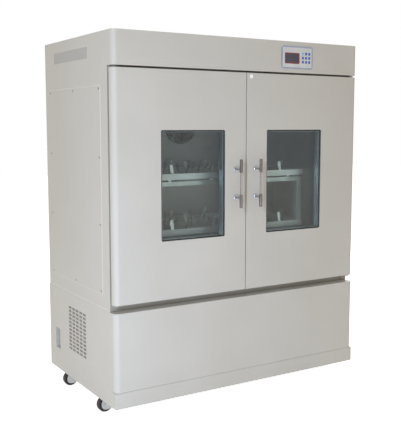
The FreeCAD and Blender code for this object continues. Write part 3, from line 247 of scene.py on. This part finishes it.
def turned(name, dark, light, roughness):
    """Turned and polished metal: level tool marks, drawn as far apart as 0.4 mm so that they show."""
    material, tree, shader, place = start(name)
    scale = [per_metre(width) for width in (16.7, 16.7, 0.4)]
    drawn = add(tree, "ShaderNodeVectorMath", {"operation": "MULTIPLY"}, i0=place, i1=scale)
    rings = add(tree, "ShaderNodeTexNoise", Vector=drawn, Scale=1.0, Detail=2.0)
    sheen = add(tree, "ShaderNodeMapRange", Value=rings, From_Min=0.3, From_Max=0.7,
                To_Min=roughness - 0.04, To_Max=roughness + 0.08)
    settle(tree, shader, Base_Color=shades(tree, rings, dark, light), Metallic=1.0,
           Roughness=sheen, Normal=bumped(tree, rings, 0.004, 0.5))
    return material


def moulded(name, dark, light, roughness, grain_mm, depth_mm, edge=0.6, metallic=0.0):
    """Moulded, cast, coated or printed surface: an even fine grain, slightly mottled.

    Swells and hollows are each grain_mm wide, so the pattern's step is twice that. Where the real
    grain is too fine to show, it is drawn coarser."""
    material, tree, shader, place = start(name)
    grain = add(tree, "ShaderNodeTexNoise", Vector=place, Scale=per_metre(2 * grain_mm), Detail=2.0)
    cloud = add(tree, "ShaderNodeTexNoise", Vector=place, Scale=per_metre(33.3), Detail=3.0)
    sheen = add(tree, "ShaderNodeMapRange", Value=grain, From_Min=0.3, From_Max=0.7,
                To_Min=roughness - 0.06, To_Max=roughness + 0.08)
    settle(tree, shader, Base_Color=shades(tree, cloud, dark, light), Metallic=metallic,
           Roughness=sheen, Normal=bumped(tree, grain, depth_mm, edge))
    return material


def float_glass():
    """Soda-lime float glass: clear and faintly green, and its shadow is clear too.

    Its IOR is set below glass's own 1.5, so that four faces mirror less of the pale studio."""
    material, tree, shader, place = start("float_glass")
    waver = add(tree, "ShaderNodeTexNoise", Vector=place, Scale=per_metre(71.4), Detail=1.0)
    settle(tree, shader, Base_Color=linear("#f2f6f5"), Roughness=0.02, IOR=1.3,
           Transmission_Weight=1.0, Normal=bumped(tree, waver, 0.02))
    clear = add(tree, "ShaderNodeBsdfTransparent", Color=linear("#f4f8f7"))
    shadow = add(tree, "ShaderNodeLightPath").outputs["Is Shadow Ray"]
    both = add(tree, "ShaderNodeMixShader", i0=shadow, i1=shader, i2=clear)
    settle(tree, tree.nodes["Material Output"], Surface=both)
    return material


def felt():
    """Needled filter felt: matted pale grey fibres, drawn about 3 mm long so that they show."""
    material, tree, shader, place = start("filter_felt")
    fibre = add(tree, "ShaderNodeTexNoise", Vector=place, Scale=per_metre(1.43), Detail=4.0,
                Distortion=1.5)
    cloud = add(tree, "ShaderNodeTexNoise", Vector=place, Scale=per_metre(50), Detail=2.0)
    tone = add(tree, "ShaderNodeMath", {"operation": "MULTIPLY_ADD"}, i0=fibre, i1=0.5, i2=cloud)
    settle(tree, shader, Base_Color=shades(tree, tone, "#84837c", "#9d9c95", 0.5, 0.95),
           Roughness=0.95, Normal=bumped(tree, fibre, 0.3))
    return material


ENAMEL = enamel("baked_enamel", "#c2bfb7", "#cac7c0")
# Door frame and hinge brackets: the cabinet's enamel painted darker, as painted shade for the gap
# under the doors
ENAMEL_PAINTED_SHADE = enamel("baked_enamel_painted_shade", "#99958b", "#a39f95")
ZINC = zinc_plate()
STAINLESS_WALL = brushed("brushed_stainless_wall", "#8e9090", "#a6a8a8", (100, 100, 2.38), 0.4)
STAINLESS_TRAY = brushed("brushed_stainless_tray", "#a9afad", "#c1c7c5", (100, 2, 2), 0.42)
SPRING_STEEL = brushed("spring_steel", "#b2b4b3", "#cfd1d0", (1.43, 1.43, 33.3), 0.25)
SLEEVE_STEEL = brushed("brushed_handle_steel", "#5b5553", "#77706d", (0.455, 0.455, 40), 0.3,
                       edge=0.3)
CHROME = turned("polished_chrome", "#9c9da0", "#b9babc", 0.1)
ROD_STEEL = turned("polished_rod_steel", "#8b8785", "#a3a09e", 0.24)
LOCK_PLATE = turned("polished_nickel", "#e4e4e2", "#f2f2f0", 0.16)
MACHINED = turned("ground_steel", "#8b8d8e", "#a6a8a8", 0.28)
FOAM = moulded("rigid_foam", "#c9b98d", "#d8caa2", 0.85, 2.5, 0.4)
BEAD_RUBBER = moulded("black_bead_rubber", "#2b2d2d", "#393b3c", 0.6, 0.8, 0.03)
SEAL_RUBBER = moulded("black_seal_rubber", "#2b2c2d", "#3a3b3c", 0.62, 0.8, 0.03)
TYRE = moulded("tyre_rubber", "#1d1715", "#2e2421", 0.55, 1.2, 0.05)
BELT = moulded("belt_rubber", "#151515", "#222222", 0.7, 1.0, 0.05)
BEZEL_FACE = moulded("printed_polyester_face", "#cacbca", "#d4d5d3", 0.38, 0.5, 0.008)
BEZEL_BORDER = moulded("printed_polyester_border", "#969fb6", "#a3acc1", 0.36, 0.5, 0.008)
DISPLAY_TRIM = moulded("dark_red_acrylic", "#7a2c35", "#8b3840", 0.2, 0.5, 0.004)
DISPLAY = moulded("smoked_acrylic", "#3d3844", "#48434f", 0.1, 0.6, 0.002, edge=0.2)
KEY_BLUE = moulded("blue_silicone", "#3f59a6", "#4d68b6", 0.45, 0.6, 0.01, edge=0.4)
KEY_CYAN = moulded("cyan_silicone", "#6bbfe2", "#7fcbe8", 0.45, 0.6, 0.01, edge=0.4)
POCKET_PLASTIC = moulded("grained_grey_abs", "#bdbdba", "#cacac7", 0.55, 1.0, 0.05)
SWITCH = moulded("glossy_black_abs", "#131415", "#1c1d1f", 0.2, 1.0, 0.004)
POWDER_COAT = moulded("dark_powder_coat", "#3a3d40", "#484b4e", 0.5, 1.6, 0.06)
PLATFORM_METAL = moulded("satin_aluminium", "#9fa7a4", "#b2bab7", 0.42, 0.7, 0.01, metallic=1.0,
                         edge=0.8)
CAST_METAL = moulded("cast_aluminium", "#54575a", "#666a6d", 0.5, 1.5, 0.08, metallic=1.0,
                     edge=0.8)
COIL_METAL = brushed("finned_aluminium", "#9b9d9d", "#b4b6b6", (1.11, 1.11, 50), 0.4)
FAN_PLASTIC = moulded("black_nylon", "#1b1c1e", "#27282b", 0.5, 1.0, 0.03)
FORK_METAL = moulded("zinc_plated_pressing", "#a2a3a1", "#b6b7b4", 0.4, 1.2, 0.01, metallic=0.8,
                     edge=0.8)
# Paler than the enamel: a painted highlight along the rounded seam and cover edges
PAINTED_HIGHLIGHT_FILLET = moulded("fillet_painted_highlight", "#d3d1ca", "#dddbd5", 0.6, 2.0, 0.02, edge=0.0)
SPACER_METAL = moulded("bright_spacer_aluminium", "#868d90", "#989fa2", 0.4, 0.8, 0.01, edge=0.4,
                       metallic=1.0)
GLASS = float_glass()
FELT = felt()

NODE_FINISH = {
    "base_pan": ZINC, "base_shell": ENAMEL, "lower_front_panel": ENAMEL,
    "power_pocket": POCKET_PLASTIC, "service_covers": ENAMEL, "panel_screws": MACHINED,
    "head_cover": ENAMEL, "rear_sheet": ZINC, "insulation": FOAM,
    "chamber_liner": STAINLESS_WALL, "door_frame": ENAMEL_PAINTED_SHADE,
    "duct_panel": STAINLESS_WALL, "air_handler": COIL_METAL, "condensing_unit": POWDER_COAT,
    "drive_frame": POWDER_COAT, "drive_motor": CAST_METAL, "drive_belt": BELT,
    "hinge_brackets": ENAMEL_PAINTED_SHADE, "control_bezel": BEZEL_FACE, "display_window": DISPLAY,
    "side_sheet_left": ENAMEL, "side_sheet_right": ENAMEL, "door_lock": LOCK_PLATE,
    "crank_main": MACHINED, "swing_frame": PLATFORM_METAL, "trays": STAINLESS_TRAY,
    "flask_clamps": SPRING_STEEL, "idler_crank_left": MACHINED, "idler_crank_right": MACHINED,
    "motor_pulley": PLATFORM_METAL, "circulation_fan": FAN_PLASTIC,
    "condenser_fan": FAN_PLASTIC, "power_rocker": SWITCH,
}
for side_name in SIDES:
    NODE_FINISH.update({
        f"{side_name}_door_shell": ENAMEL, f"{side_name}_door_liner": STAINLESS_WALL,
        f"{side_name}_door_glazing": GLASS, f"{side_name}_door_gasket": SEAL_RUBBER,
        f"{side_name}_door_handle": SLEEVE_STEEL})
    for end_name in ("front", "rear"):
        NODE_FINISH[f"caster_fork_{side_name}_{end_name}"] = FORK_METAL
        NODE_FINISH[f"caster_wheel_{side_name}_{end_name}"] = TYRE
for column, row in KEY_NUMBERS:
    NODE_FINISH[f"key_{column}_{row}"] = KEY_CYAN if (column, row) == CYAN_KEY else KEY_BLUE
for node_name, finish in NODE_FINISH.items():
    NODES[node_name].data.materials.clear()
    NODES[node_name].data.materials.append(finish)


# Surfaces

def sheet_faces(rows, columns, wrap_rows, wrap_columns, offset):
    """Quads of a grid of points, with either way closed on itself, as rows of four indices."""
    i = np.arange(rows if wrap_rows else rows - 1)[:, None]
    j = np.arange(columns if wrap_columns else columns - 1)[None, :]
    i2, j2 = (i + 1) % rows, (j + 1) % columns
    quads = [i * columns + j, i2 * columns + j, i2 * columns + j2, i * columns + j2]
    return np.stack(quads, axis=-1).reshape(-1, 4) + offset


def make_piece(name, body, finish, grids, replaced=()):
    """One mesh from grids of points in millimetres, each (points, wrap rows, wrap columns)."""
    points, faces, offset = [], [], 0
    for grid, wrap_rows, wrap_columns in grids:
        rows, columns = grid.shape[:2]
        points.append(grid.reshape(-1, 3) * MM)
        faces.append(sheet_faces(rows, columns, wrap_rows, wrap_columns, offset))
        offset += rows * columns
    mesh = bpy.data.meshes.new(name)
    mesh.from_pydata(np.concatenate(points), [], np.concatenate(faces))
    mesh.materials.append(finish)
    work = bmesh.new()
    work.from_mesh(mesh)
    bmesh.ops.remove_doubles(work, verts=work.verts, dist=2e-6)
    bmesh.ops.dissolve_degenerate(work, edges=work.edges, dist=1e-7)
    bmesh.ops.recalc_face_normals(work, faces=work.faces)
    work.to_mesh(mesh)
    work.free()
    mesh.shade_smooth()
    mesh.set_sharp_from_angle(angle=math.radians(SHARP_ANGLE))
    piece = bpy.data.objects.new(name, mesh)
    bpy.context.scene.collection.objects.link(piece)
    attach(piece, body)
    if replaced:
        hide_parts(*replaced)


def across(direction):
    """Two unit vectors square to a direction and to each other."""
    direction = np.array(direction, float)
    helper = np.array([0, 0, 1.0]) if abs(direction[2]) < 0.9 else np.array([1.0, 0, 0])
    first = np.cross(helper, direction)
    first /= np.linalg.norm(first)
    return first, np.cross(direction, first)


def lathe(profile, centre, direction, steps=32):
    """A (radius, height) profile turned about an axis: centre + r (cos t e1 + sin t e2) + h d."""
    r, h = np.array(profile, float).T
    e1, e2 = across(direction)
    t = np.linspace(0, 2 * np.pi, steps, endpoint=False)
    ring = np.cos(t)[:, None] * e1 + np.sin(t)[:, None] * e2
    grid = np.array(centre) + r[:, None, None] * ring + h[:, None, None] * np.array(direction, float)
    return grid, False, True


def rounded_path(corners, steps=6):
    """A closed path round (u, v, radius) corners, counter-clockwise, and its outward normals.

    Each corner is an arc: middle + radius (cos t, sin t), where t turns from one side's normal
    to the next."""
    corners = np.array(corners, float)
    here = corners[:, :2]
    before, after = np.roll(here, 1, 0), np.roll(here, -1, 0)
    along_in = (here - before) / np.linalg.norm(here - before, axis=1)[:, None]
    along_out = (after - here) / np.linalg.norm(after - here, axis=1)[:, None]
    start_turn = np.arctan2(-along_in[:, 0], along_in[:, 1])
    end_turn = np.arctan2(-along_out[:, 0], along_out[:, 1])
    turn = (end_turn - start_turn + np.pi) % (2 * np.pi) - np.pi
    middle = here - corners[:, 2:] * (np.stack([np.cos(start_turn), np.sin(start_turn)], 1)
                                      + np.tan(turn / 2)[:, None] * along_in)
    t = start_turn[:, None] + turn[:, None] * np.linspace(0, 1, steps)
    normals = np.stack([np.cos(t), np.sin(t)], axis=-1)
    path = middle[:, None] + corners[:, 2][:, None, None] * normals
    return path.reshape(-1, 2), normals.reshape(-1, 2)


def rect_corners(u, v, radius):
    """A rectangle's corners for rounded_path: u and v are its low and high sides."""
    return [(u[0], v[0], radius), (u[1], v[0], radius), (u[1], v[1], radius), (u[0], v[1], radius)]


def carried(profile, corners, level, plane="xz", steps=6, closed=True):
    """An (outward, lift) profile carried round a rounded outline in the plane xz or yz.

    Each point is path + outward n + lift w, with n square to the path and w square to the plane."""
    path, normals = rounded_path(corners, steps)
    out, lift = np.array(profile, float).T
    flat = path[None] + out[:, None, None] * normals[None]
    lift = np.broadcast_to(level + lift[:, None], flat.shape[:2])
    u, v = flat[..., 0], flat[..., 1]
    order = (u, lift, v) if plane == "xz" else (lift, u, v)
    return np.stack(order, axis=-1), closed, True


def tube(points, radius, wrap=False, steps=6):
    """A round tube along points: p + radius (cos t e1 + sin t e2), square to the run at each."""
    points = np.array(points, float)
    if wrap:
        run = np.roll(points, -1, 0) - np.roll(points, 1, 0)
    else:
        run = np.gradient(points, axis=0)
    run /= np.linalg.norm(run, axis=1)[:, None]
    helper = np.where(np.abs(run[:, 2:]) < 0.9, np.array([[0, 0, 1.0]]), np.array([[1.0, 0, 0]]))
    e1 = np.cross(helper, run)
    e1 /= np.linalg.norm(e1, axis=1)[:, None]
    e2 = np.cross(run, e1)
    t = np.linspace(0, 2 * np.pi, steps, endpoint=False)
    grid = points[:, None] + radius * (np.cos(t)[None, :, None] * e1[:, None]
                                       + np.sin(t)[None, :, None] * e2[:, None])
    return grid, wrap, True


def capped(grid, wrap_rows, wrap_columns, hub=None):
    """A grid closed by rows that draw its ends in to their middles, or to one column's points."""
    ends = []
    for end in (grid[:1], grid[-1:]):
        centre = end.mean(axis=1, keepdims=True) if hub is None else end[:, [hub]]
        ends.append(np.broadcast_to(centre, end.shape))
    return np.concatenate([ends[0], grid, ends[1]]), wrap_rows, wrap_columns


# Door handles

def arc_profile(start_r, start_h, end_r, end_h, bulge, count=6):
    """Points from one (r, h) to another along a quarter of an ellipse, bulging out or in."""
    t = np.linspace(0, np.pi / 2, count)
    if bulge:
        r = end_r + (start_r - end_r) * np.cos(t)
        h = start_h + (end_h - start_h) * np.sin(t)
    else:
        r = start_r + (end_r - start_r) * np.sin(t)
        h = end_h + (start_h - end_h) * np.cos(t)
    return list(zip(r, h))


def door_handle(side):
    """Two sleeves on a bright rod, and its posts: each is a profile turned about its own axis."""
    low, high = low_high(f"{side}_door_handle")
    x = (low[0] + high[0]) / 2
    axis_y = low[1] + SLEEVE_R
    z_low, z_high = low[2] + POST_INSET, high[2] - POST_INSET
    groove, groove_r = SLEEVE_LEN - GROOVE_DROP, SLEEVE_R - GROOVE_DEPTH
    sleeve = [(0, 0), (SLEEVE_MOUTH_R, 0)] + arc_profile(SLEEVE_MOUTH_R, 0, SLEEVE_R, 1.4, False)
    sleeve += [(SLEEVE_R, groove), (groove_r, groove + 0.3), (groove_r, groove + 1.1),
               (SLEEVE_R, groove + 1.4), (SLEEVE_R, SLEEVE_LEN - 1.1),
               (SLEEVE_R - 0.65, SLEEVE_LEN), (0, SLEEVE_LEN)]
    grids = [lathe(sleeve, (x, axis_y, low[2]), (0, 0, 1)),
             lathe(sleeve, (x, axis_y, high[2]), (0, 0, -1))]
    make_piece(f"{side}_handle_sleeves", f"{side}_door", SLEEVE_STEEL, grids,
               [f"{side}_door_handle"])
    rod = [(0, 0), (ROD_R, 0), (ROD_R, z_high - z_low), (0, z_high - z_low)]
    make_piece(f"{side}_handle_rod", f"{side}_door", ROD_STEEL,
               [lathe(rod, (x, axis_y, z_low), (0, 0, 1))])
    reach = FACE_Y - axis_y
    post = [(0, 0), (ROSETTE_R, 0), (ROSETTE_R, 0.8)]
    post += arc_profile(ROSETTE_R, 0.8, POST_NECK_R, ROSETTE_H, True, 8)
    post += [(POST_NECK_R, ROSETTE_H), (5.4, 5.4), (5.0, 6.4), (POST_R, 8), (POST_R, reach),
             (0, reach)]
    make_piece(f"{side}_handle_posts", f"{side}_door", CHROME,
               [lathe(post, (x, FACE_Y, z), (0, -1, 0), 40) for z in (z_low, z_high)])


# Windows and seals

def window_bead(side):
    """Rubber glazing bead on both faces: a quarter-round carried round the window's outline."""
    low, high = low_high(f"{side}_door_glazing")
    corners = rect_corners((low[0], high[0]), (low[2], high[2]), WINDOW_R)
    inner = [(0.3, 3.2), (-0.6, 3.5), (-1.8, 3.1), (-2.9, 1.9), (-3.4, 0.4), (-3.4, -0.3),
             (0.3, -0.3)]
    outer = [(out, -lift) for out, lift in inner]
    grids = [carried(outer, corners, low[1]), carried(inner, corners, high[1])]
    make_piece(f"{side}_window_bead", f"{side}_door", BEAD_RUBBER, grids)


def window_spacer(side):
    """Aluminium spacer between the panes: a flat strip carried round inside their edges."""
    low, high = low_high(f"{side}_door_glazing")
    corners = rect_corners((low[0] + SPACER_INSET, high[0] - SPACER_INSET),
                           (low[2] + SPACER_INSET, high[2] - SPACER_INSET), SPACER_R)
    back = high[1] - low[1] - PANE_T
    profile = [(0, PANE_T), (-SPACER_T, PANE_T), (-SPACER_T, back), (0, back)]
    make_piece(f"{side}_window_spacer", f"{side}_door", SPACER_METAL,
               [carried(profile, corners, low[1])])


def door_seal(side):
    """Bellows seal: a folded profile carried round the back of the door."""
    low, high = low_high(f"{side}_door_gasket")
    corners = rect_corners((low[0] + SEAL_HALF_W, high[0] - SEAL_HALF_W),
                           (low[2] + SEAL_HALF_W, high[2] - SEAL_HALF_W), SEAL_R)
    depth = high[1] - low[1]
    half = [(SEAL_HALF_W, 0), (SEAL_HALF_W, 0.8), (3.4, 1.4), (3.2, 2.2), (4.6, 3.1),
            (4.6, depth - 0.7), (4, depth)]
    profile = [(-out, lift) for out, lift in half] + half[::-1]
    make_piece(f"{side}_door_seal", f"{side}_door", SEAL_RUBBER,
               [carried(profile, corners, low[1], steps=5)], [f"{side}_door_gasket"])


# Control bezel

def bezel_trim():
    """Raised border round the bezel and thin frame round its display, each a carried profile."""
    low, high = low_high("control_bezel")
    face = low[1]
    outline = rect_corners((low[0], high[0]), (low[2], high[2]), BEZEL_R)
    border = [(0, 1.4), (0, 0.2), (-0.3, -0.45), (-1, -0.7), (-4.6, -0.7), (-5.2, -0.4), (-5.4, 0.1),
              (-5.4, 1.4)]
    make_piece("bezel_border", "cabinet", BEZEL_BORDER, [carried(border, outline, face)])
    low, high = low_high("display_window")
    outline = rect_corners((low[0], high[0]), (low[2], high[2]), DISPLAY_R)
    frame_profile = [(2.6, 0.4), (2.6, -0.2), (2.2, -0.6), (0.4, -0.6), (-2.2, -0.25), (-2.4, 0.4)]
    make_piece("display_frame", "cabinet", DISPLAY_TRIM,
               [carried(frame_profile, outline, face)])


def key_cap(column, row):
    """Silicone key: a squared ring |cos|^0.4, |sin|^0.4 that draws in towards a domed top."""
    name = f"key_{column}_{row}"
    low, high = low_high(name)
    centre, half = (low + high) / 2, (high - low) / 2
    depth, size = np.array([(0, 0.0), (0, 1.0), (1, 1.0), (1, 0.815), (9.6, 0.815), (10.9, 0.8),
                            (11.3, 0.74), (11.55, 0.6), (11.7, 0.35), (11.75, 0.0)]).T
    reach = depth / depth[-1] * (high[1] - low[1])
    t = np.linspace(0, 2 * np.pi, 28, endpoint=False)
    ring_u = np.sign(np.cos(t)) * np.abs(np.cos(t)) ** 0.4
    ring_v = np.sign(np.sin(t)) * np.abs(np.sin(t)) ** 0.4
    x = centre[0] + size[:, None] * half[0] * ring_u
    z = centre[2] + size[:, None] * half[2] * ring_v
    y = np.broadcast_to(high[1] - reach[:, None], x.shape)
    cyan = (column, row) == CYAN_KEY
    finish, slot = (KEY_CYAN, "key_cyan") if cyan else (KEY_BLUE, "key_blue")
    make_piece(f"key_cap_{column}_{row}", name, finish,
               [(np.stack([x, y, z], axis=-1), False, True)], [name])


# Flask clamps

def clamp_fingers():
    """Spring fingers and their feet. A finger's line leans in, bows and rolls out at its tip.

    Its radius at a share s of its height is r(s) = foot + (top - foot) s - bow sin(pi s). The tip
    rolls by out (1 - cos t) and up sin t."""
    low, high = low_high("flask_clamps")
    centre_y = (low[1] + high[1]) / 2
    s = np.linspace(0, 1, 9)
    run = FINGER_FOOT_R + (FINGER_TOP_R - FINGER_FOOT_R) * s - FINGER_BOW * np.sin(np.pi * s)
    rise = 1.5 + FINGER_RISE * s
    tip = np.linspace(0.2, 1.0, 5) * TIP_TURN
    tip_run = run[-1] + TIP_OUT * (1 - np.cos(tip))
    tip_rise = rise[-1] + TIP_UP * np.sin(tip)
    line = np.stack([np.append(run, tip_run), np.append(rise, tip_rise)], 1)
    along = np.gradient(line, axis=0)
    along /= np.linalg.norm(along, axis=1)[:, None]
    normal = np.stack([along[:, 1], -along[:, 0]], 1)
    skin = np.concatenate([line + FINGER_HALF_T * normal, (line - FINGER_HALF_T * normal)[::-1]])
    width = FINGER_HALF_W - FINGER_TAPER * np.abs(np.linspace(-1, 1, len(line)))
    across_width = np.concatenate([width, width[::-1]])[:, None] * np.array([-1.0, 1.0])
    finger = np.stack([np.broadcast_to(skin[:, :1], across_width.shape), across_width,
                       np.broadcast_to(skin[:, 1:], across_width.shape)], axis=-1)
    foot = [(0, 0), (80, 0), (80, 1.2), (FINGER_FOOT_R, 1.5), (58, 1.5), (57, 0.7), (6, 0.7),
            (6, 2.6), (5, 3.2), (0, 3.2)]
    grids = []
    for lift, column, row in itertools.product(CLAMP_TIERS, CLAMP_COLUMNS, CLAMP_ROWS):
        spot = np.array([column * CLAMP_PITCH_X, centre_y + row * CLAMP_PITCH_Y, low[2] + lift])
        grids.append(lathe(foot, spot, (0, 0, 1), 40))
        for quarter in range(4):
            c, q = math.cos(quarter * math.pi / 2), math.sin(quarter * math.pi / 2)
            turned_finger = finger @ np.array([[c, q, 0], [-q, c, 0], [0, 0, 1.0]])
            grids.append((turned_finger + spot, True, False))
            for edge in (0, 1):
                side = turned_finger[:, edge] + spot
                closing = np.stack([side[:len(line)], side[len(line):][::-1]], axis=0)
                grids.append((closing, False, False))
    make_piece("clamp_springs", "platform", SPRING_STEEL, grids, ["flask_clamps"])


# Fan guard and filters

def fan_guard():
    """Wire guard over the fan's mouth: round rings and four bent spokes, all of 2 mm wire."""
    fan_low, fan_high = low_high("circulation_fan")
    centre = np.array([0, low_high("duct_panel")[0][1], (fan_low[2] + fan_high[2]) / 2])
    t = np.linspace(0, 2 * np.pi, 48, endpoint=False)
    grids = []
    for radius, lift in GUARD_RINGS:
        ring = np.stack([radius * np.cos(t), np.full_like(t, -lift), radius * np.sin(t)], 1)
        grids.append(tube(centre + ring, WIRE_R, wrap=True))
    reach, lifts = np.array(SPOKE_BENDS, float).T
    for turn in np.arange(4) * np.pi / 2 + np.pi / 4:
        spoke = np.stack([reach * np.cos(turn), -lifts, reach * np.sin(turn)], 1)
        grids.append(capped(*tube(centre + spoke, WIRE_R)))
    make_piece("fan_guard", "cabinet", CHROME, grids)


def filter_pad(side, sign):
    """Soft filter pad behind a lower vent: two flat faces and an edge that swells out between."""
    front = [(-5, 0), (-2.5, 0.3), (-0.7, 1.2), (0, FILTER_T / 2)]
    profile = front + [(out, FILTER_T - lift) for out, lift in front[-2::-1]]
    level = min(sign * FILTER_FACE, sign * (FILTER_FACE - FILTER_T))
    pad = carried(profile, rect_corners(FILTER_Y, FILTER_Z, FILTER_R), level, "yz", closed=False)
    make_piece(f"vent_filter_{side}", "cabinet", FELT, [capped(*pad)])


def highlight_fillets(side, sign):
    """Fillets coloured paler than the enamel, a painted highlight: round the service cover, and along
    the ledge where the base begins.

    The ledge's fillet is a quarter of an ellipse, out = w (1 - sin t) and lift = h (1 - cos t)."""
    sheet_low, sheet_high = low_high(f"side_sheet_{side}")
    wall = sheet_high[0] if sign > 0 else sheet_low[0]
    cover_low, cover_high = low_high("service_covers")
    plate = cover_high[0] - abs(wall)
    skirt = [(-0.4, 0.9), (0.4, 0.9), (1.2, 0.6), (2.2, 0.25), (3.2, 0.1), (3.2, -0.1), (-0.4, -0.1)]
    profile = [(out, sign * share * plate) for out, share in skirt]
    outline = rect_corners((cover_low[1], cover_high[1]), (cover_low[2], cover_high[2]), COVER_R)
    grids = [carried(profile, outline, wall, "yz")]
    width = BASE_HIGH[0] - abs(wall) - LEDGE_SHORT
    t = np.linspace(0, np.pi / 2, 7)
    out = np.concatenate([width * (1 - np.sin(t)), [-0.1, -0.1, width]])
    lift = np.concatenate([LEDGE_H * (1 - np.cos(t)), [LEDGE_H, -0.1, -0.1]])
    y = np.linspace(sheet_low[1] + 1, sheet_high[1] - 1, 9)[:, None]
    run = np.stack(np.broadcast_arrays(wall + sign * out, y, BASE_HIGH[2] + lift), axis=-1)
    inner_corner = len(out) - 2
    grids.append(capped(run, False, True, inner_corner))
    make_piece(f"fillet_highlight_{side}", "cabinet", PAINTED_HIGHLIGHT_FILLET, grids)


for side_name in SIDES:
    door_handle(side_name)
    window_bead(side_name)
    window_spacer(side_name)
    door_seal(side_name)
bezel_trim()
for column, row in KEY_NUMBERS:
    key_cap(column, row)
clamp_fingers()
fan_guard()
for side_name, sign in SIDES.items():
    highlight_fillets(side_name, sign)
    filter_pad(side_name, sign)


# Camera: it stands to the left of the doors, above their middle

camera_data = bpy.data.cameras.new("camera")
camera_data.lens = CAMERA_LENS
camera = bpy.data.objects.new("camera", camera_data)
bpy.context.scene.collection.objects.link(camera)
camera.location = Vector(CAMERA_PLACE) * MM
camera.rotation_euler = (math.radians(90 - CAMERA_DIP), 0, -math.radians(CAMERA_TURN))
bpy.context.scene.camera = camera


# Studio: a white floor and sky for the camera, gloss and glass, and four soft lamps

def seen_rays(tree):
    """1 for the rays that show the background: to the camera, off gloss and through glass."""
    ray = add(tree, "ShaderNodeLightPath")
    shown = ray.outputs["Is Camera Ray"]
    for kind in ("Is Glossy Ray", "Is Transmission Ray"):
        shown = add(tree, "ShaderNodeMath", {"operation": "MAXIMUM"}, i0=shown, i1=ray.outputs[kind])
    return shown


def floor():
    """A flat white floor under the object, z(x, y) = 0, whose glow only the seen rays meet."""
    side = np.linspace(-FLOOR_HALF, FLOOR_HALF, FLOOR_POINTS)
    x, y = np.meshgrid(side, side)
    mesh = bpy.data.meshes.new("floor")
    points = np.stack([x, y, np.zeros_like(x)], -1).reshape(-1, 3)
    mesh.from_pydata(points, [], sheet_faces(FLOOR_POINTS, FLOOR_POINTS, False, False, 0))
    plane = bpy.data.objects.new("floor", mesh)
    bpy.context.scene.collection.objects.link(plane)
    material, tree, shader, place = start("white_floor")
    dust = add(tree, "ShaderNodeTexNoise", Vector=place, Scale=per_metre(200), Detail=2.0)
    settle(tree, shader, Base_Color=shades(tree, dust, "#f2f2f2", "#f6f6f6"), Roughness=0.9)
    glow = add(tree, "ShaderNodeEmission", Color=(1, 1, 1, 1), Strength=0.75)
    both = add(tree, "ShaderNodeAddShader", i0=shader, i1=glow)
    choice = add(tree, "ShaderNodeMixShader", i0=seen_rays(tree), i1=shader, i2=both)
    settle(tree, tree.nodes["Material Output"], Surface=choice)
    mesh.materials.append(material)


def lamp(name, place, target, size, power, hex_colour):
    """A soft square lamp that faces a target; its power is in watts."""
    data = bpy.data.lights.new(name, "AREA")
    data.size = size
    data.energy = power
    data.color = linear(hex_colour)[:3]
    thing = bpy.data.objects.new(name, data)
    bpy.context.scene.collection.objects.link(thing)
    thing.location = place
    thing.rotation_euler = (Vector(target) - Vector(place)).to_track_quat("-Z", "Y").to_euler()


def sky():
    """White for what the camera, gloss and glass see, and a plain soft light for the rest."""
    world = bpy.data.worlds.new("studio")
    bpy.context.scene.world = world
    world.use_nodes = True
    tree = world.node_tree
    soft = add(tree, "ShaderNodeBackground", Color=linear("#fff1da"), Strength=0.45)
    white = add(tree, "ShaderNodeBackground", Color=(1, 1, 1, 1), Strength=1.0)
    both = add(tree, "ShaderNodeMixShader", i0=seen_rays(tree), i1=soft, i2=white)
    settle(tree, tree.nodes["World Output"], Surface=both)


floor()
sky()
lamp("window_light", (-3.2, -2.78, 2.2), (0, -0.3, 0.8), 0.3, 71, "#dcebff")
lamp("low_light", (-1.35, -1.65, 0.12), (-0.45, -0.3, 0.2), 0.8, 18, "#cfe0ff")
lamp("ceiling_light", (0.2, 0.3, 4.2), (0, 0, 0.8), 3.0, 42, "#fffcf3")
lamp("far_light", (3.1, 3.0, 2.0), (0, 0, 0.8), 1.6, 60, "#eef2ff")
bpy.context.scene.view_settings.view_transform = "Standard"
